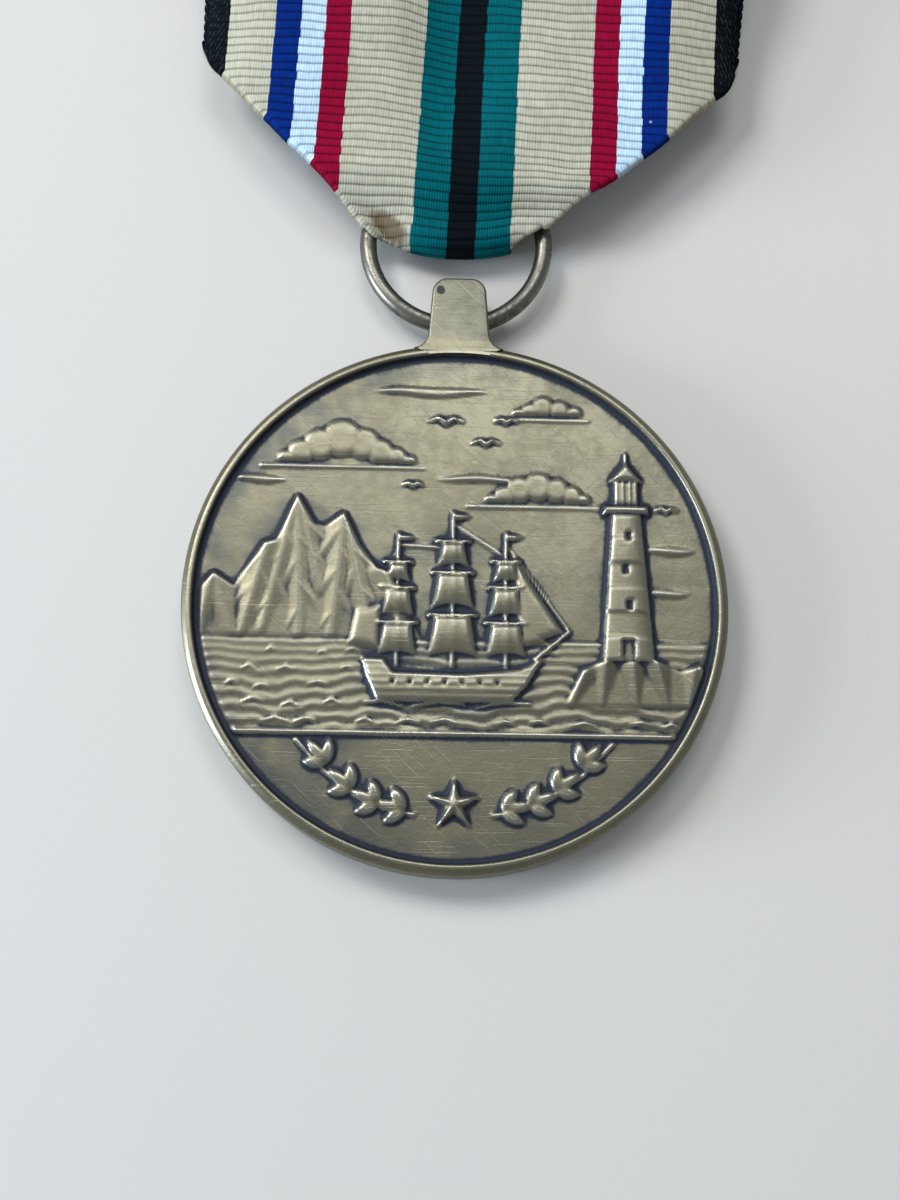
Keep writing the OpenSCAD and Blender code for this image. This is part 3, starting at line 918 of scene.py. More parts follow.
def makeBronze(shape):
    made, tree, shader = newMaterial("antiqueBronze")
    point = objectPoint(tree)
    cavity, proud, wash = attributeParts(tree, "relief")
    blotch = useGroup(tree, tarnishGroup, {"Point": point, "Scale": 190.0, "Amount": 0.5})
    specks = noise(tree, point, 5200.0, 2.0)
    hairs = useGroup(tree, scratchGroup, {"Point": point, "Turn": 0.75, "Density": 0.8})["Mask"]
    longer = stretched(tree, point, (1.0, 1.4, 1.0))
    tooling = useGroup(tree, scratchGroup, {"Point": longer, "Turn": 0.0, "Density": 0.7})["Mask"]
    marks = larger(tree, hairs, tooling)
    drift = noise(tree, point, 420.0, 2.0)
    uneven = calc(tree, "MULTIPLY_ADD", calc(tree, "SUBTRACT", specks, 0.5), 0.45, cavity)
    uneven = calc(tree, "MULTIPLY_ADD", calc(tree, "SUBTRACT", drift, 0.5), 0.7, uneven)
    dark = spread(tree, times(tree, uneven, spread(tree, cavity, 0.0, 0.15)), 0.15, 0.7)
    body = mixColours(tree, blotch["Mask"], shape["khaki"], shape["brown"])
    place = addNode(tree, "ShaderNodeSeparateXYZ", {0: point}).outputs
    # a broad dark wash in the wide hollows, patchy, and stronger towards the left than the right; the tab
    # takes some of it too
    cloudy = times(tree, wash, spread(tree, drift, 0.3, 0.6, 0.08, 0.5))
    cloudy = times(tree, cloudy, spread(tree, place["X"], -12 * mm, 12 * mm, 1.5, 0.5))
    onTab = spread(tree, place["Y"], discRadius * mm, (discRadius + 0.8) * mm, 0.0, 0.4)
    body = mixColours(tree, larger(tree, cloudy, onTab), body, shape["washed"])
    body = mixColours(tree, times(tree, proud, 0.5), body, shape["worn"])
    body = mixColours(tree, times(tree, marks, 0.12), body, shape["worn"])
    sockets = {0: point, 1: tuple(value * mm for value in shape["pitPlace"])}
    away = addNode(tree, "ShaderNodeVectorMath", sockets, operation="DISTANCE").outputs["Value"]
    pit = spread(tree, away, shape["pitSize"] * 0.8 * mm, shape["pitSize"] * 1.1 * mm, 0.9, 0.0)
    dark = larger(tree, dark, pit)
    feed(tree, shader, Base_Color=mixColours(tree, dark, body, shape["patina"]))
    feed(tree, shader, Metallic=calc(tree, "MULTIPLY_ADD", dark, -0.55, 1.0))
    rough = calc(tree, "MULTIPLY_ADD", blotch["Mask"], 0.12, shape["roughness"])
    rough = calc(tree, "MULTIPLY_ADD", proud, -0.1, rough)
    feed(tree, shader, Roughness=calc(tree, "MULTIPLY_ADD", dark, 0.2, rough))
    height = calc(tree, "MULTIPLY_ADD", blotch["Grain"], 0.6, times(tree, specks, 0.5))
    height = calc(tree, "SUBTRACT", height, times(tree, marks, 0.45))
    height = calc(tree, "SUBTRACT", height, times(tree, pit, 2.5))
    feedBump(tree, shader, height, 0.4, 0.03)
    return made


medal = makeMedal()
bronze = makeBronze(bronzeShape)
medal.data.materials.clear()
medal.data.materials.append(bronze)
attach(medal, "medallion")
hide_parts("medallion")
print("medallion made", sum(len(face.vertices) - 2 for face in medal.data.polygons), "triangles")

ribbonHigh = boxInMm("ribbon")[1]
barLow, barHigh = boxInMm("brooch_bar")
ribbonShape = {
    "width": 34.925,
    "drop": 34.925,
    "thickness": 0.35,
    "tuck": 6.6,  # the point reaches this far below the ring's top
    "tipHalf": 3.2,
    "cornerRun": 2.8,
    "cornerRise": 1.95,
    "cornerDrop": {-1: 1.1, 1: 0.4},  # how much lower each side lies, left and right
    "foldDrop": {-1: 1.75, 1: 0.6},
    "foldAngle": 45.0,
    "backDraw": 2.6,
    "drawnIn": 0.02,
    "curlFrom": 12.3,  # the sides curl down outside this
    "curlDrop": 0.75,
    "curlDrawnIn": 0.42,
    "tipLift": 0.3,
    "tipSkew": 0.055,
    "tipSmile": 0.042,
    "smileHalf": 3.4,
    "bulgeHeight": 4.15,
    "bulgeRun": 4.5,
    "level": 10.0,  # length that lies level below the bar
    "valley": (-1.6, 2.8, 0.75),  # place across, half width, depth
    "hemRadius": 0.18,
    "ribPitch": 0.58,
    "ribDepth": 0.085,
    "fineRibs": (-3, 26),  # ribs with close rows of points run between these
    "columns": 21,
}
stripeShape = {
    "unit": 0.79375,  # the widths below are in thirty-seconds of an inch
    "stripes": [
        (1.04, "black"), (2.8, "green"), (6, "chamois"), (2.03, "red"),
        (2.03, "white"), (2, "blue"), (4.05, "chamois"), (2.05, "black"),
    ],
    "black": (0.003, 0.006, 0.009),
    "green": (0.0, 0.108, 0.132),
    "chamois": (0.492, 0.495, 0.4),
    "red": (0.27, 0.003, 0.034),
    "white": (0.55, 0.76, 0.96),
    "blue": (0.001, 0.022, 0.2),
    "twill": (0.13, 0.16, 0.2),
    "lint": (0.75, 0.78, 0.8),
    # brown for the creases, partly soil and partly painted shade
    "dirtAndCreaseShade": (0.5, 0.4, 0.29),
    "sawTooth": 0.09,
    "thread": 0.17,
}
hollowShape = {
    "across": -4.5,
    "rise": 1.2,
    "tilt": 36.0,
    "long": 1.9,
    "short": 0.8,
    "depth": 0.8,
    # brown for the hollow, partly a stain and partly painted shade
    "shadeAndStain": (0.12, 0.078, 0.042),
}
halfWidth = ribbonShape["width"] / 2
tipRadius = ringCentre[2]
broochTop = ribbonHigh[2]
backHeight = barLow[2] - (broochTop - barHigh[2])
topRadius = (broochTop - backHeight) / 2
tipY = ringHigh[1] - wireRadius - ribbonShape["tuck"]
tipCorner = ribbonShape["tipHalf"] + ribbonShape["cornerRun"]
foldSlope = math.tan(math.radians(ribbonShape["foldAngle"]))
shoulder = ribbonShape["cornerRise"] + (halfWidth - tipCorner) * foldSlope
levelFrom = ribbonShape["drop"] - ribbonShape["level"]


def drapePlace(across, along, height):
    # from the ribbon's own lie to the frame
    c, s = math.cos(leanAngle), math.sin(leanAngle)
    return np.stack([across * c + along * s, tipY - across * s + along * c, height], axis=-1)


def frontTop(v):
    low = ease(2 * tipRadius, ribbonShape["bulgeHeight"], tipRadius, ribbonShape["bulgeRun"], v)
    return np.where(v < shoulder, low, ease(ribbonShape["bulgeHeight"], broochTop, shoulder, levelFrom, v))


def backUnder(v):
    return ease(0, backHeight, shoulder, levelFrom, v)


def ribbonPath():
    # middle of the strip seen from its edge, from the back's top end round the point to the front's
    half = ribbonShape["thickness"] / 2
    topV = ribbonShape["drop"] - topRadius
    run = np.linspace(tipRadius, topV, 1500)
    turn = np.linspace(0, math.pi, 200)[1:-1]
    tip = tipRadius - half
    top = topRadius - half
    middle = (broochTop + backHeight) / 2
    v = np.concatenate([run[::-1], tipRadius - tip * np.sin(turn), run, topV + top * np.sin(turn)])
    z = np.concatenate([
        backUnder(run[::-1]) + half, tipRadius - tip * np.cos(turn),
        frontTop(run) - half, middle + top * np.cos(turn),
    ])
    along = np.concatenate([[0], np.cumsum(np.hypot(np.diff(v), np.diff(z)))])
    return along - along[len(run) + len(turn) // 2], v, z


pathAlong, pathV, pathZ = ribbonPath()


def onPath(along):
    # place and heading of the strip at a distance from the point
    v = np.interp(along, pathAlong, pathV)
    z = np.interp(along, pathAlong, pathZ)
    step = 0.05
    dv = np.interp(along + step, pathAlong, pathV) - np.interp(along - step, pathAlong, pathV)
    dz = np.interp(along + step, pathAlong, pathZ) - np.interp(along - step, pathAlong, pathZ)
    size = np.maximum(np.hypot(dv, dz), 1e-9)
    return v, z, dv / size, dz / size


def planHalf(v, draw, sign):
    # half width of one side's outline at a height above the point
    corner = ribbonShape["cornerRise"] - ribbonShape["cornerDrop"][sign]
    places = [0, draw + 1e-6, corner + draw, shoulder - ribbonShape["foldDrop"][sign] + draw]
    tipHalf = ribbonShape["tipHalf"]
    return np.interp(v, places, [tipHalf, tipHalf + draw / 4, tipCorner, halfWidth])


def ribRows():
    # rows of points: close over each rib that shows, further apart on the back
    fine = [0, 0.08, 0.22, 0.4, 0.6, 0.78, 0.92]
    coarse = [0, 0.14, 0.5, 0.86]
    pitch = ribbonShape["ribPitch"]
    fineFrom, fineTo = ribbonShape["fineRibs"]
    rows = []
    for rib in range(math.floor(pathAlong[0] / pitch), math.ceil(pathAlong[-1] / pitch)):
        shares = fine if fineFrom < rib * pitch < fineTo else coarse
        rows += [(rib + share) * pitch for share in shares]
    rows = np.array(rows)
    rows = rows[(rows > pathAlong[0] + 0.05) & (rows < pathAlong[-1] - 0.05)]
    return np.concatenate([[pathAlong[0]], rows, [pathAlong[-1]]])


def ribShare(along):
    # how far up its rib a point along the strip stands
    phase = along / ribbonShape["ribPitch"] % 1
    return np.sin(math.pi * phase) ** 0.5


def smoothed(values, rows, reach):
    # running mean over a distance, which rounds the outline's corners
    fine = np.linspace(rows[0], rows[-1], 4000)
    wide = max(int(reach / (fine[1] - fine[0])), 1)
    padded = np.pad(np.interp(fine, rows, values), wide, mode="edge")
    weights = np.hanning(2 * wide + 1)
    return np.interp(rows, fine, np.convolve(padded, weights / weights.sum(), mode="valid"))


def hump(value, centre, half):
    return np.exp(-(((value - centre) / half) ** 2))


def weftDrift(across, along):
    # the ribs wander a little from straight
    sway = 0.34 * hump(across, -5.5, 5) - 0.16 * hump(across, 6, 6)
    ripple = 0.05 * np.sin(across * 0.9 + along * 0.8) + 0.035 * np.sin(across * 2.1 - along * 0.5)
    return (sway - 0.012 * across + ripple) * between(along, 1.5, 6, 22, 27)


def between(along, start, full, fading, end):
    # 0 below the start, 1 from full to fading and 0 again past the end
    return ease(0, 1, start, full, along) * ease(1, 0, fading, end, along)


def curled(across):
    start = ribbonShape["curlFrom"]
    return np.clip((np.abs(across) - start) / (halfWidth - start), 0, 1)


def frontSwell(across, along):
    # soft waves and curled sides, a valley beside the middle stripe and a hollow beside the point
    wave = 0.22 * np.sin(across * 0.27 + 0.6) * np.sin(along * 0.21 + 0.3)
    wave = wave + 0.07 * np.sin(across * 0.75 + along * 0.35)
    curl = ribbonShape["curlDrop"] * curled(across) ** 1.7
    centre, half, depth = ribbonShape["valley"]
    valley = depth * hump(across, centre, half) * between(along, 3, 9, 14, 21)
    tilt = math.radians(hollowShape["tilt"])
    x, y = across - hollowShape["across"], along - hollowShape["rise"]
    x, y = x * math.cos(tilt) - y * math.sin(tilt), x * math.sin(tilt) + y * math.cos(tilt)
    hollow = hollowShape["depth"] * hump(x, 0, hollowShape["long"]) * hump(y, 0, hollowShape["short"])
    return (wave - curl) * between(along, 4, 10, 17, 23) - valley - hollow


def drawnIn(across, along):
    # the front looks narrower where it swells and its edges curl down
    atSides = np.sign(across) * ribbonShape["curlDrawnIn"] * curled(across) ** 1.5
    return (ribbonShape["drawnIn"] * across + atSides) * between(along, 0.5, 4, 18, 25)


def creaseOn(sign, rows, v):
    # where one side's crease runs, how much is turned in there, how round it is and which way it faces
    hem = ribbonShape["hemRadius"]
    reach = (hem + ribbonShape["thickness"] / 2) * math.sqrt(2)
    backShare = ease(1, 0, -1.6, 0.4, rows)
    edge = planHalf(v, 0, sign) * (1 - backShare) + planHalf(v, ribbonShape["backDraw"], sign) * backShare
    edge = np.where(np.abs(rows) < 5, edge, smoothed(edge, rows, 1.8))
    crease = np.minimum(edge - reach * ease(1, 0, halfWidth - 0.9, halfWidth - 0.01, edge), halfWidth)
    turned = halfWidth - crease
    flap = np.maximum(turned * ease(0, 1, 1.6, 3.4, np.abs(rows)), np.minimum(turned, 0.35))
    flap = np.where(turned < 0.02, 0, flap)
    radius = hem * ease(0, 1, 0, 0.9, flap)
    slopeU, slopeS = np.gradient(crease), np.abs(np.gradient(rows))
    slope = np.hypot(slopeU, slopeS)
    return crease, flap, radius, slopeS / slope, -np.abs(slopeU) / slope


def ribbonSurface():
    # panel columns, then round each crease, then the turned-in corner lying on the inside
    rows = ribRows()
    v, z, headV, headZ = onPath(rows)
    side = np.where(rows >= 0, 1.0, -1.0)
    panel, turnedIn = {}, {}
    for sign in (-1, 1):
        crease, flap, radius, outU, outS = creaseOn(sign, rows, v)
        shares = sign * np.linspace(0, 1, ribbonShape["columns"])
        panel[sign] = [(share * crease, v, z, share * crease, rows) for share in shares]
        made = []
        for angle in (30, 60, 90, 120, 150):
            turn = math.radians(angle)
            push, drop = radius * math.sin(turn), radius * (1 - math.cos(turn))
            made.append((
                sign * (crease + push * outU),
                v + push * outS * side * headV + drop * headZ,
                z + push * outS * side * headZ - drop * headV,
                sign * (crease + 0.02 * angle / 180),
                rows,
            ))
        for share in (0, 0.12, 0.3, 0.5, 0.75, 1):
            flapV, flapZ, flapHeadV, flapHeadZ = onPath(rows + side * share * flap)
            made.append((
                sign * crease, flapV + 2 * radius * flapHeadZ, flapZ - 2 * radius * flapHeadV,
                sign * (crease + 0.03 + share * flap), rows,
            ))
        turnedIn[sign] = made
    columns = turnedIn[-1][::-1] + panel[-1][:0:-1] + panel[1] + turnedIn[1]
    grid = np.array([np.stack(np.broadcast_arrays(*column)) for column in columns])
    return rows, grid.transpose(2, 0, 1)


def weld(points, extras, faces):
    # joins points that fall on one place, and drops the faces that vanish with them
    keys = np.round(points / 2e-4).astype(np.int64)
    first, which = np.unique(keys, axis=0, return_index=True, return_inverse=True)[1:]
    which = which.reshape(-1)
    kept = []
    for face in faces:
        corners = list(dict.fromkeys(which[list(face)].tolist()))
        if len(corners) > 2:
            kept.append(tuple(corners))
    return points[first], extras[first], kept


def pointNormals(points, faces):
    normals = np.zeros_like(points)
    for count in (3, 4):
        ring = np.array([face for face in faces if len(face) == count], int).reshape(-1, count)
        first = points[ring[:, 0]]
        facing = np.cross(points[ring[:, 1]] - first, points[ring[:, 2]] - first)
        if count == 4:
            facing += np.cross(points[ring[:, 2]] - first, points[ring[:, 3]] - first)
        for corner in range(count):
            np.add.at(normals, ring[:, corner], facing)
    return normals / np.maximum(np.linalg.norm(normals, axis=1, keepdims=True), 1e-12)


def thicken(points, faces, outer, inner):
    # two skins and the edge between them
    normals = pointNormals(points, faces)
    count = len(points)
    both = np.concatenate([points + normals * outer[:, None], points - normals * inner[:, None]])
    made = list(faces) + [tuple(count + corner for corner in face[::-1]) for face in faces]
    edges = {(a, b) for face in faces for a, b in zip(face, face[1:] + face[:1])}
    made += [(b, a, count + a, count + b) for a, b in sorted(edges) if (b, a) not in edges]
    return both, made


def makeRibbon():
    rows, grid = ribbonSurface()
    u, v, z, stripU, stripS = grid.transpose(2, 0, 1)
    front = stripS > 0
    v = v + np.where(front, weftDrift(u, v), 0)
    smile = ribbonShape["tipSmile"] * np.minimum(np.abs(u), ribbonShape["smileHalf"]) ** 2
    drawn = ribbonShape["tipLift"] + ribbonShape["tipSkew"] * u + smile
    v = v + drawn * ease(1, 0, 1, 8, np.abs(stripS))
    z = z + np.where(front, frontSwell(u, v), 0)
    u = u - np.where(front, drawnIn(u, v), 0)
    selvage = np.abs(stripU) > halfWidth - 0.05
    u = u + np.sign(stripU) * 0.09 * (ribShare(stripS) - 0.6) * selvage
    points = np.stack([u, v, z], axis=-1).reshape(-1, 3)
    strips = np.stack([stripU, stripS], axis=-1).reshape(-1, 2)
    height, width = len(rows), grid.shape[1]
    index = np.arange(height * width).reshape(height, width)
    corners = [index[:-1, :-1], index[:-1, 1:], index[1:, 1:], index[1:, :-1]]
    points, strips, faces = weld(points, strips, np.stack(corners, axis=-1).reshape(-1, 4).tolist())
    half = ribbonShape["thickness"] / 2
    sideways = np.clip(1.7 * np.abs(pointNormals(points, faces)[:, 0]), 0, 1)
    ribs = (1 - ribShare(strips[:, 1])) * ribbonShape["ribDepth"] * (1 - 0.8 * sideways)
    both, faces = thicken(points, faces, half - ribs, np.full(len(points), half))
    mesh = meshFrom("ribbonStrip", drapePlace(*both.T), faces)
    # place across and along the strip, and how far it faces sideways
    stripValues = np.column_stack([strips, sideways])
    addPointValues(mesh, "strip", np.concatenate([stripValues, stripValues]))
    return newObject("ribbonStrip", mesh)


def makeRibbonMaterial(shape):
    made, tree, shader = newMaterial("grosgrain", Roughness=0.9, Specular_IOR_Level=0.06)
    across, along, sideways = attributeParts(tree, "strip")
    ribs = calc(tree, "DIVIDE", along, ribbonShape["ribPitch"])
    ribNumber = calc(tree, "FLOOR", ribs)
    sideNumber = calc(tree, "FLOOR", calc(tree, "DIVIDE", across, shape["unit"] * 2))
    seed = {"Vector": addNode(tree, "ShaderNodeCombineXYZ", {0: ribNumber, 1: sideNumber}).outputs[0]}
    jitter = addNode(tree, "ShaderNodeTexWhiteNoise", seed, noise_dimensions="3D").outputs["Value"]
    shifted = calc(tree, "MULTIPLY_ADD", calc(tree, "SUBTRACT", jitter, 0.5), shape["sawTooth"], across)
    place = calc(tree, "DIVIDE", calc(tree, "ABSOLUTE", shifted), halfWidth, clamp=True)
    ramp = addNode(tree, "ShaderNodeValToRGB", {"Fac": place})
    ramp.color_ramp.interpolation = "CONSTANT"
    start = 0
    for number, (units, colour) in enumerate(shape["stripes"]):
        at = start * shape["unit"] / halfWidth
        stop = ramp.color_ramp.elements[number] if number < 2 else ramp.color_ramp.elements.new(at)
        stop.position = at
        stop.color = (*shape[colour], 1)
        start += units
    onStrip = addNode(tree, "ShaderNodeCombineXYZ", {0: across, 1: along}).outputs[0]
    threadPlace = stretched(tree, onStrip, (7.0, 0.8, 1.0))
    streaks = noise(tree, threadPlace, 1.0, 3.0)
    threads = calc(tree, "SINE", times(tree, across, 2 * math.pi / shape["thread"]))
    dirtAndCreaseShade = useGroup(tree, tarnishGroup, {"Point": objectPoint(tree), "Scale": 180.0, "Amount": 1.0})
    # painted shade: the grooves between the ribs are darkened in the colour, and less so where the cloth
    # turns sideways at a crease
    groove = calc(tree, "SINE", times(tree, calc(tree, "FRACT", ribs), math.pi))
    shade = spread(tree, groove, 0.0, 0.7, 0.5, 1.0)
    shade = larger(tree, shade, spread(tree, sideways, 0.4, 1.0, 0.5, 0.85))
    shade = times(tree, shade, calc(tree, "MULTIPLY_ADD", jitter, 0.1, 0.95))
    shade = times(tree, shade, spread(tree, streaks, 0.3, 0.7, 0.88, 1.06))
    shade = times(tree, shade, spread(tree, dirtAndCreaseShade["Mask"], 0.0, 1.0, 1.0, 0.9))
    cloth = mixColours(tree, 1.0, ramp.outputs[0], grey(tree, shade), "MULTIPLY")
    # pale threads of the twill show on the black selvages
    twillTurn = calc(tree, "MULTIPLY_ADD", calc(tree, "ABSOLUTE", across), 3.2, ribs)
    twill = spread(tree, calc(tree, "FRACT", twillTurn), 0.72, 0.95)
    atSelvage = spread(tree, place, 0.912, 0.918)
    broken = spread(tree, noise(tree, threadPlace, 0.9, 2.0), 0.45, 0.6)
    specks = times(tree, times(tree, twill, broken), atSelvage)
    cloth = mixColours(tree, times(tree, specks, 0.3), cloth, shape["twill"])
    # a hollow beside the point painted brown, partly stain and partly painted shade; creases that turn
    # sideways darkened brown, partly soil and partly painted shade; and specks of pale lint
    rising = pathAlong > tipRadius
    hollowAlong = float(np.interp(hollowShape["rise"], pathV[rising], pathAlong[rising]))
    hollowPlace = addNode(tree, "ShaderNodeMapping", {
        "Vector": onStrip,
        "Location": (hollowShape["across"], hollowAlong, 0),
        "Rotation": (0, 0, -math.radians(hollowShape["tilt"])),
        "Scale": (hollowShape["long"], hollowShape["short"], 1),
    }, vector_type="TEXTURE").outputs[0]
    away = addNode(tree, "ShaderNodeVectorMath", {0: hollowPlace}, operation="LENGTH").outputs["Value"]
    ragged = calc(tree, "MULTIPLY_ADD", calc(tree, "SUBTRACT", streaks, 0.5), 0.8, away)
    # partly stain and partly painted shade: the dent beside the point is painted brown
    cloth = mixColours(tree, spread(tree, ragged, 0.5, 1.0, 0.85, 0.0), cloth, hollowShape["shadeAndStain"])
    # partly soil and partly painted shade: creases where the cloth turns sideways are darkened brown
    atCrease = spread(tree, sideways, 0.6, 1.0, 0.0, 0.9)
    creaseSoilAndShade = times(tree, atCrease, spread(tree, streaks, 0.3, 0.6, 0.3, 1.0))
    cloth = mixColours(tree, creaseSoilAndShade, cloth, shape["dirtAndCreaseShade"], "MULTIPLY")
    cells = addNode(tree, "ShaderNodeTexVoronoi", {"Vector": objectPoint(tree), "Scale": 420.0}).outputs
    chance = addNode(tree, "ShaderNodeSeparateColor", {0: cells["Color"]}).outputs[0]
    nearMiddle = spread(tree, cells["Distance"], 0.01, 0.055, 0.5, 0.0)
    lint = times(tree, spread(tree, chance, 0.9, 0.91), nearMiddle)
    cloth = mixColours(tree, lint, cloth, shape["lint"])
    feed(tree, shader, Base_Color=cloth)
    height = calc(tree, "MULTIPLY_ADD", threads, 0.5, times(tree, streaks, 1.2))
    height = calc(tree, "MULTIPLY_ADD", times(tree, twill, atSelvage), 1.2, height)
    feedBump(tree, shader, height, 0.5, 0.03)
    return made


ribbon = makeRibbon()
ribbon.data.materials.append(makeRibbonMaterial(stripeShape))
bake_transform(ribbon)
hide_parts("ribbon")

# each metal's bright and tarnished colour, how much tarnish, roughness, how fine the tarnish is
finishes = {
    "dullBrassWire": ((0.188, 0.183, 0.157), (0.07, 0.066, 0.056), 0.75, 0.34, 500.0),
    "gildedBrass": ((0.72, 0.5, 0.2), (0.3, 0.19, 0.08), 0.5, 0.28, 420.0),
    "nickelSteel": ((0.56, 0.55, 0.52), (0.26, 0.25, 0.23), 0.45, 0.25, 700.0),
}


def makeMetal(name, bright, dull, tarnish, roughness, scale):
    made, tree, shader = newMaterial(name, Metallic=1.0)
    point = objectPoint(tree)
    spots = useGroup(tree, tarnishGroup, {"Point": point, "Scale": scale, "Amount": tarnish})
    hairs = useGroup(tree, scratchGroup, {"Point": point, "Turn": 0.5, "Density": 0.7})["Mask"]
    feed(tree, shader, Base_Color=mixColours(tree, spots["Mask"], bright, dull))
    rough = calc(tree, "MULTIPLY_ADD", spots["Mask"], 0.25, roughness)
    feed(tree, shader, Roughness=calc(tree, "MULTIPLY_ADD", hairs, -0.08, rough))
    feedBump(tree, shader, calc(tree, "MULTIPLY_ADD", hairs, -0.5, spots["Grain"]), 0.35, 0.02)
    return made


metals = {name: makeMetal(name, *values) for name, values in finishes.items()}


def endTree(tree, geometry, finish):
    # what a tree has made turns into one smooth mesh in its finish
    real = addNode(tree, "GeometryNodeRealizeInstances", {"Geometry": geometry})
    smooth = addNode(tree, "GeometryNodeSetShadeSmooth", {"Geometry": real.outputs[0]})
    sockets = {"Geometry": smooth.outputs[0], "Material": finish}
    addNode(tree, "NodeGroupOutput", {0: addNode(tree, "GeometryNodeSetMaterial", sockets).outputs[0]})


def runTree(piece, tree, names, values):
    change = piece.modifiers.new(tree.name, "NODES")
    change.node_group = tree
    for label, value in values.items():
        change[names[label]] = value
    finishedMesh(piece)


ringShape = {"gap": 0.12, "stepsRound": 200, "stepsWire": 28, "unevenness": 0.02}


def makeWireTree():
    # a round wire bent to an arc that is open at its top
    inputs = {
        "Geometry": ("Geometry", None), "Radius": ("Float", 0.005), "Wire": ("Float", 0.0005),
        "Gap": ("Float", 0.0001), "Centre": ("Vector", (0, 0, 0)), "Unevenness": ("Float", 0.00001),
        "Steps Round": ("Int", 128), "Steps Wire": ("Int", 24), "Finish": ("Material", None),
    }
    tree, given, names = newTree("bentWire", "GeometryNodeTree", inputs, {"Geometry": "Geometry"})
    halfTurn = calc(tree, "DIVIDE", times(tree, given["Gap"], 0.5), given["Radius"])
    arc = addNode(tree, "GeometryNodeCurveArc", {
        "Resolution": given["Steps Round"], "Radius": given["Radius"],
        "Start Angle": calc(tree, "ADD", halfTurn, math.pi / 2),
        "Sweep Angle": calc(tree, "MULTIPLY_ADD", halfTurn, -2.0, 2 * math.pi),
    })
    section = addNode(tree, "GeometryNodeCurvePrimitiveCircle", {
        "Resolution": given["Steps Wire"], "Radius": given["Wire"],
    })
    tube = addNode(tree, "GeometryNodeCurveToMesh", {
        "Curve": arc.outputs["Curve"], "Profile Curve": section.outputs["Curve"], "Fill Caps": True,
    })
    # a hand-bent wire is never quite true
    waver = addNode(tree, "ShaderNodeTexNoise", {"Scale": 260.0, "Detail": 2.0}).outputs["Color"]
    sockets = {0: waver, 1: (0.5, 0.5, 0.5)}
    centred = addNode(tree, "ShaderNodeVectorMath", sockets, operation="SUBTRACT").outputs[0]
    sockets = {0: centred, "Scale": given["Unevenness"]}
    offset = addNode(tree, "ShaderNodeVectorMath", sockets, operation="SCALE").outputs[0]
    bent = addNode(tree, "GeometryNodeSetPosition", {"Geometry": tube.outputs["Mesh"], "Offset": offset})
    sockets = {"Geometry": bent.outputs[0], "Translation": given["Centre"]}
    placed = addNode(tree, "GeometryNodeTransform", sockets).outputs[0]
    endTree(tree, placed, given["Finish"])
    return tree, names


def makeJumpRing():
    piece = newObject("wireRing", bpy.data.meshes.new("wireRing"))
    tree, names = makeWireTree()
    runTree(piece, tree, names, {
        "Radius": ringRadius * mm, "Wire": wireRadius * mm, "Gap": ringShape["gap"] * mm,
        "Centre": [float(value) * mm for value in ringCentre], "Unevenness": ringShape["unevenness"] * mm,
        "Steps Round": ringShape["stepsRound"], "Steps Wire": ringShape["stepsWire"],
        "Finish": metals["dullBrassWire"],
    })
    return piece


wireRing = makeJumpRing()
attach(wireRing, "ring")
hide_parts("jump_ring")
print("ring made", len(wireRing.data.polygons), "faces")

wreathShape = {
    "leaves": 28,
    "leafLength": 3.2,
    "leafWidth": 1.2,
    "leafHeight": 0.22,
    "leafSunk": 0.06,  # the leaf's rim lies this far below the field
    "leafFoot": 0.12,
    "midrib": 0.62,  # height along the middle against beside it
    "rows": 9,
    "lean": 60.0,
    "sideLeaf": (1.05, 0.9),  # further lean and size of each pair's outer leaf
    "berry": 0.22,
}


def makeLeafMesh(shape):
    # a leaf with a sunk midrib, its stalk at the origin and its point up the Y axis
    length, width, height = shape["leafLength"], shape["leafWidth"], shape["leafHeight"]
    radius = (length * length + width * width) / (4 * width)
    rows, columns = shape["rows"], (-1, -0.55, -0.12, 0, 0.12, 0.55, 1)
    points = []
    for row in range(rows):
        y = length * row / (rows - 1)
        half = max(math.sqrt(max(radius**2 - (y - length / 2) ** 2, 0)) - (radius - width / 2), 0)
        crown = height * (0.25 + 0.75 * math.sin(math.pi * row / (rows - 1)))
        for share in columns:
            rise = crown * (1 - share * share) ** 0.5 * (shape["midrib"] if share == 0 else 1)
            points.append((share * half, y, rise - shape["leafSunk"]))
    wide = len(columns)
    faces = []
    for row in range(rows - 1):
        for column in range(wide - 1):
            a = row * wide + column
            faces.append((a, a + 1, a + 1 + wide, a + wide))
    mesh = meshFrom("laurelLeaf", points, faces)
    with meshEditor(mesh) as work:
        bmesh.ops.remove_doubles(work, verts=work.verts, dist=1e-7)
        rim = [edge for edge in work.edges if edge.is_boundary]
        foot = bmesh.ops.extrude_edge_only(work, edges=rim)["geom"]
        for vert in [part for part in foot if isinstance(part, bmesh.types.BMVert)]:
            vert.co.z = -shape["leafFoot"] * mm
        bmesh.ops.holes_fill(work, edges=[edge for edge in work.edges if edge.is_boundary])
        bmesh.ops.recalc_face_normals(work, faces=work.faces)
    return mesh


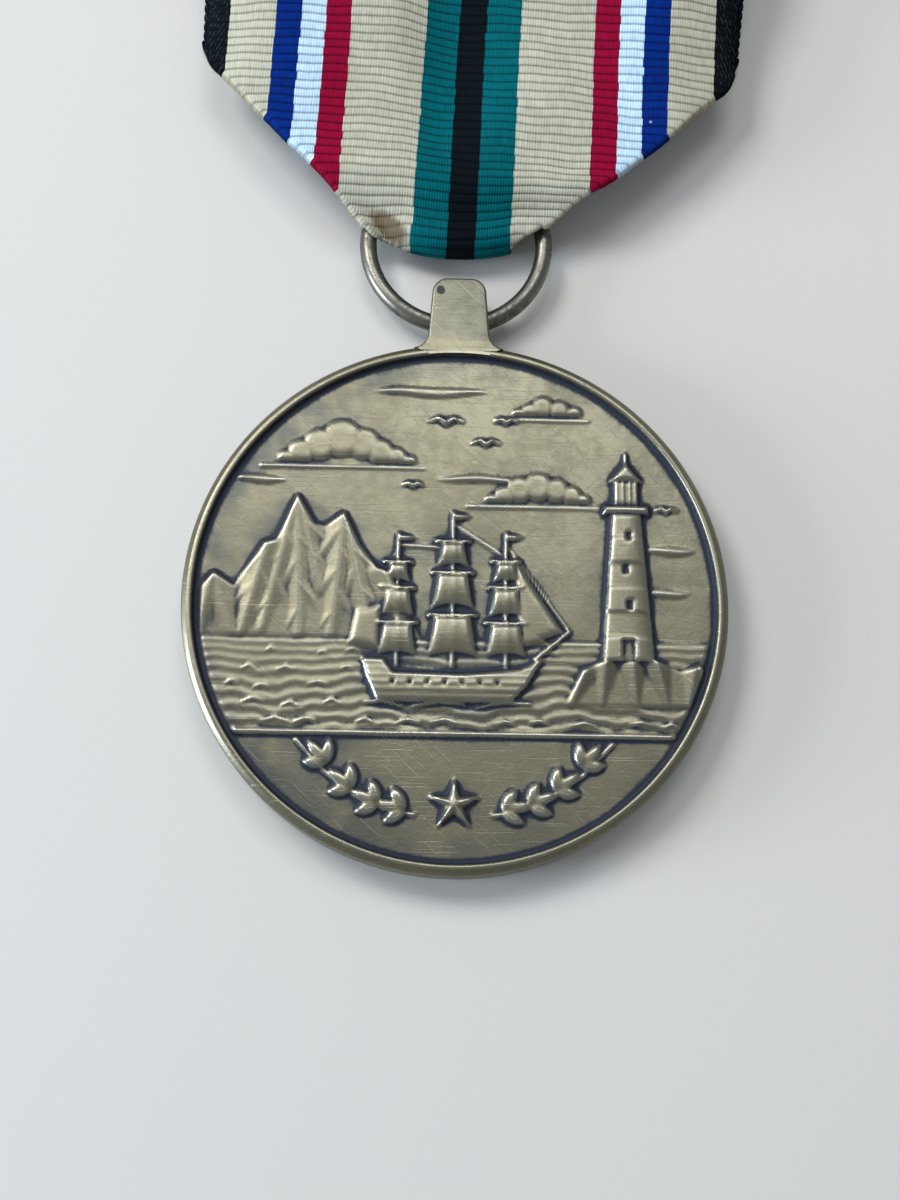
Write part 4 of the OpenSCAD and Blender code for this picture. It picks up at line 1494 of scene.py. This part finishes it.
def makeWreathTree(shape):
    # leaves set round a circle, leaning towards its top on both sides, with a berry between
    inputs = {
        "Geometry": ("Geometry", None), "Leaves": ("Int", 24), "Radius": ("Float", 0.01),
        "Lean": ("Float", 0.6), "Berry": ("Float", 0.0002), "Depth": ("Float", 0.0003),
        "Finish": ("Material", None),
    }
    tree, given, names = newTree("wreath", "GeometryNodeTree", inputs, {"Geometry": "Geometry"})
    sockets = {"Vertices": given["Leaves"], "Radius": given["Radius"]}
    circle = addNode(tree, "GeometryNodeMeshCircle", sockets)
    halfStep = calc(tree, "DIVIDE", math.pi, given["Leaves"])
    shift = addNode(tree, "ShaderNodeCombineXYZ", {2: halfStep}).outputs[0]
    turned = addNode(tree, "GeometryNodeTransform", {"Geometry": circle.outputs[0], "Rotation": shift})
    place = addNode(tree, "GeometryNodeInputPosition").outputs[0]
    parts = addNode(tree, "ShaderNodeSeparateXYZ", {0: place}).outputs
    heading = calc(tree, "SUBTRACT", calc(tree, "ARCTAN2", parts[1], parts[0]), math.pi / 2)
    side = calc(tree, "SIGN", parts[0])
    leaning = calc(tree, "MULTIPLY_ADD", side, given["Lean"], heading)
    joined = tree.nodes.new("GeometryNodeJoinGeometry")
    # none where the stems meet, and none beside the knot
    height = calc(tree, "ABSOLUTE", parts[1])
    clear = calc(tree, "LESS_THAN", height, times(tree, given["Radius"], 0.95))
    for swing, size in ((0.0, 1.0), shape["sideLeaf"]):
        swung = calc(tree, "MULTIPLY_ADD", side, swing, leaning)
        facing = addNode(tree, "ShaderNodeCombineXYZ", {2: swung}).outputs[0]
        leaves = addNode(tree, "GeometryNodeInstanceOnPoints", {
            "Points": turned.outputs[0], "Selection": clear, "Instance": given["Geometry"],
            "Rotation": facing, "Scale": (size, size, 1.0),
        })
        tree.links.new(leaves.outputs[0], joined.inputs[0])
    berry = addNode(tree, "GeometryNodeMeshIcoSphere", {"Radius": given["Berry"], "Subdivisions": 2})
    sockets = {"Vertices": given["Leaves"], "Radius": times(tree, given["Radius"], 1.155)}
    berries = addNode(tree, "GeometryNodeInstanceOnPoints", {
        "Points": addNode(tree, "GeometryNodeMeshCircle", sockets).outputs[0],
        "Selection": clear, "Instance": berry.outputs[0],
    })
    tree.links.new(berries.outputs[0], joined.inputs[0])
    # built face up, then turned over to lie in the sunk field of the back
    laid = addNode(tree, "GeometryNodeTransform", {
        "Geometry": joined.outputs[0], "Rotation": (0.0, math.pi, 0.0),
        "Translation": addNode(tree, "ShaderNodeCombineXYZ", {2: given["Depth"]}).outputs[0],
    })
    endTree(tree, laid.outputs[0], given["Finish"])
    return tree, names


def makeWreath(shape):
    piece = newObject("laurelWreath", makeLeafMesh(shape))
    tree, names = makeWreathTree(shape)
    runTree(piece, tree, names, {
        "Leaves": shape["leaves"], "Radius": medalShape["stemRadius"] * mm,
        "Lean": math.radians(shape["lean"]), "Berry": shape["berry"] * mm,
        "Depth": medalShape["backSink"] * mm, "Finish": bronze,
    })
    # dark beside the leaves and worn bright along their tops
    depth = np.clip((pointsOf(piece.data)[:, 2] - 0.16) / 0.14, 0, 1)
    relief = [depth * 0.8, np.clip(1 - depth * 2, 0, 1), np.zeros_like(depth)]
    addPointValues(piece.data, "relief", np.stack(relief, axis=-1))
    return piece


wreath = makeWreath(wreathShape)
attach(wreath, "medallion")
print("wreath made", len(wreath.data.polygons), "faces")

# each solid's piece, the body it rides, how round its edges are and its finish
broochPieces = {
    "brooch_plate": ("broochPlate", "drape", 0.12, "gildedBrass"),
    "brooch_bar": ("broochBar", "drape", 0.1, "gildedBrass"),
    "pin_joint": ("pinJoint", "drape", 0.07, "gildedBrass"),
    "joint_rivet": ("jointRivet", "drape", 0.08, "nickelSteel"),
    "pin_stem": ("pinStem", "pin", 0.07, "nickelSteel"),
    "catch_base": ("catchBase", "drape", 0.07, "gildedBrass"),
    "catch_rotor": ("catchRotor", "catch", 0.06, "gildedBrass"),
}


def makeRounded(node, name, size):
    # a copy of a plain solid with its edges rounded
    mesh = bpy.data.meshes.new(name)
    with meshEditor(mesh) as work:
        work.from_mesh(frame["nodes"][node].data)
        bmesh.ops.remove_doubles(work, verts=work.verts, dist=2e-7)
        flat = math.radians(0.6)
        bmesh.ops.dissolve_limit(work, angle_limit=flat, verts=work.verts, edges=work.edges)
        sharp = [edge for edge in work.edges if edge.calc_face_angle(0) > math.radians(32)]
        bmesh.ops.bevel(
            work, geom=sharp, offset=size * mm, segments=2, profile=0.6, affect="EDGES", clamp_overlap=True,
        )
        for face in work.faces:
            face.smooth = True
    return newObject(name, mesh)


for node, (name, body, edgeRound, finish) in broochPieces.items():
    piece = makeRounded(node, name, edgeRound)
    piece.data.materials.append(metals[finish])
    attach(piece, body)
    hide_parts(node)
print("brooch made")
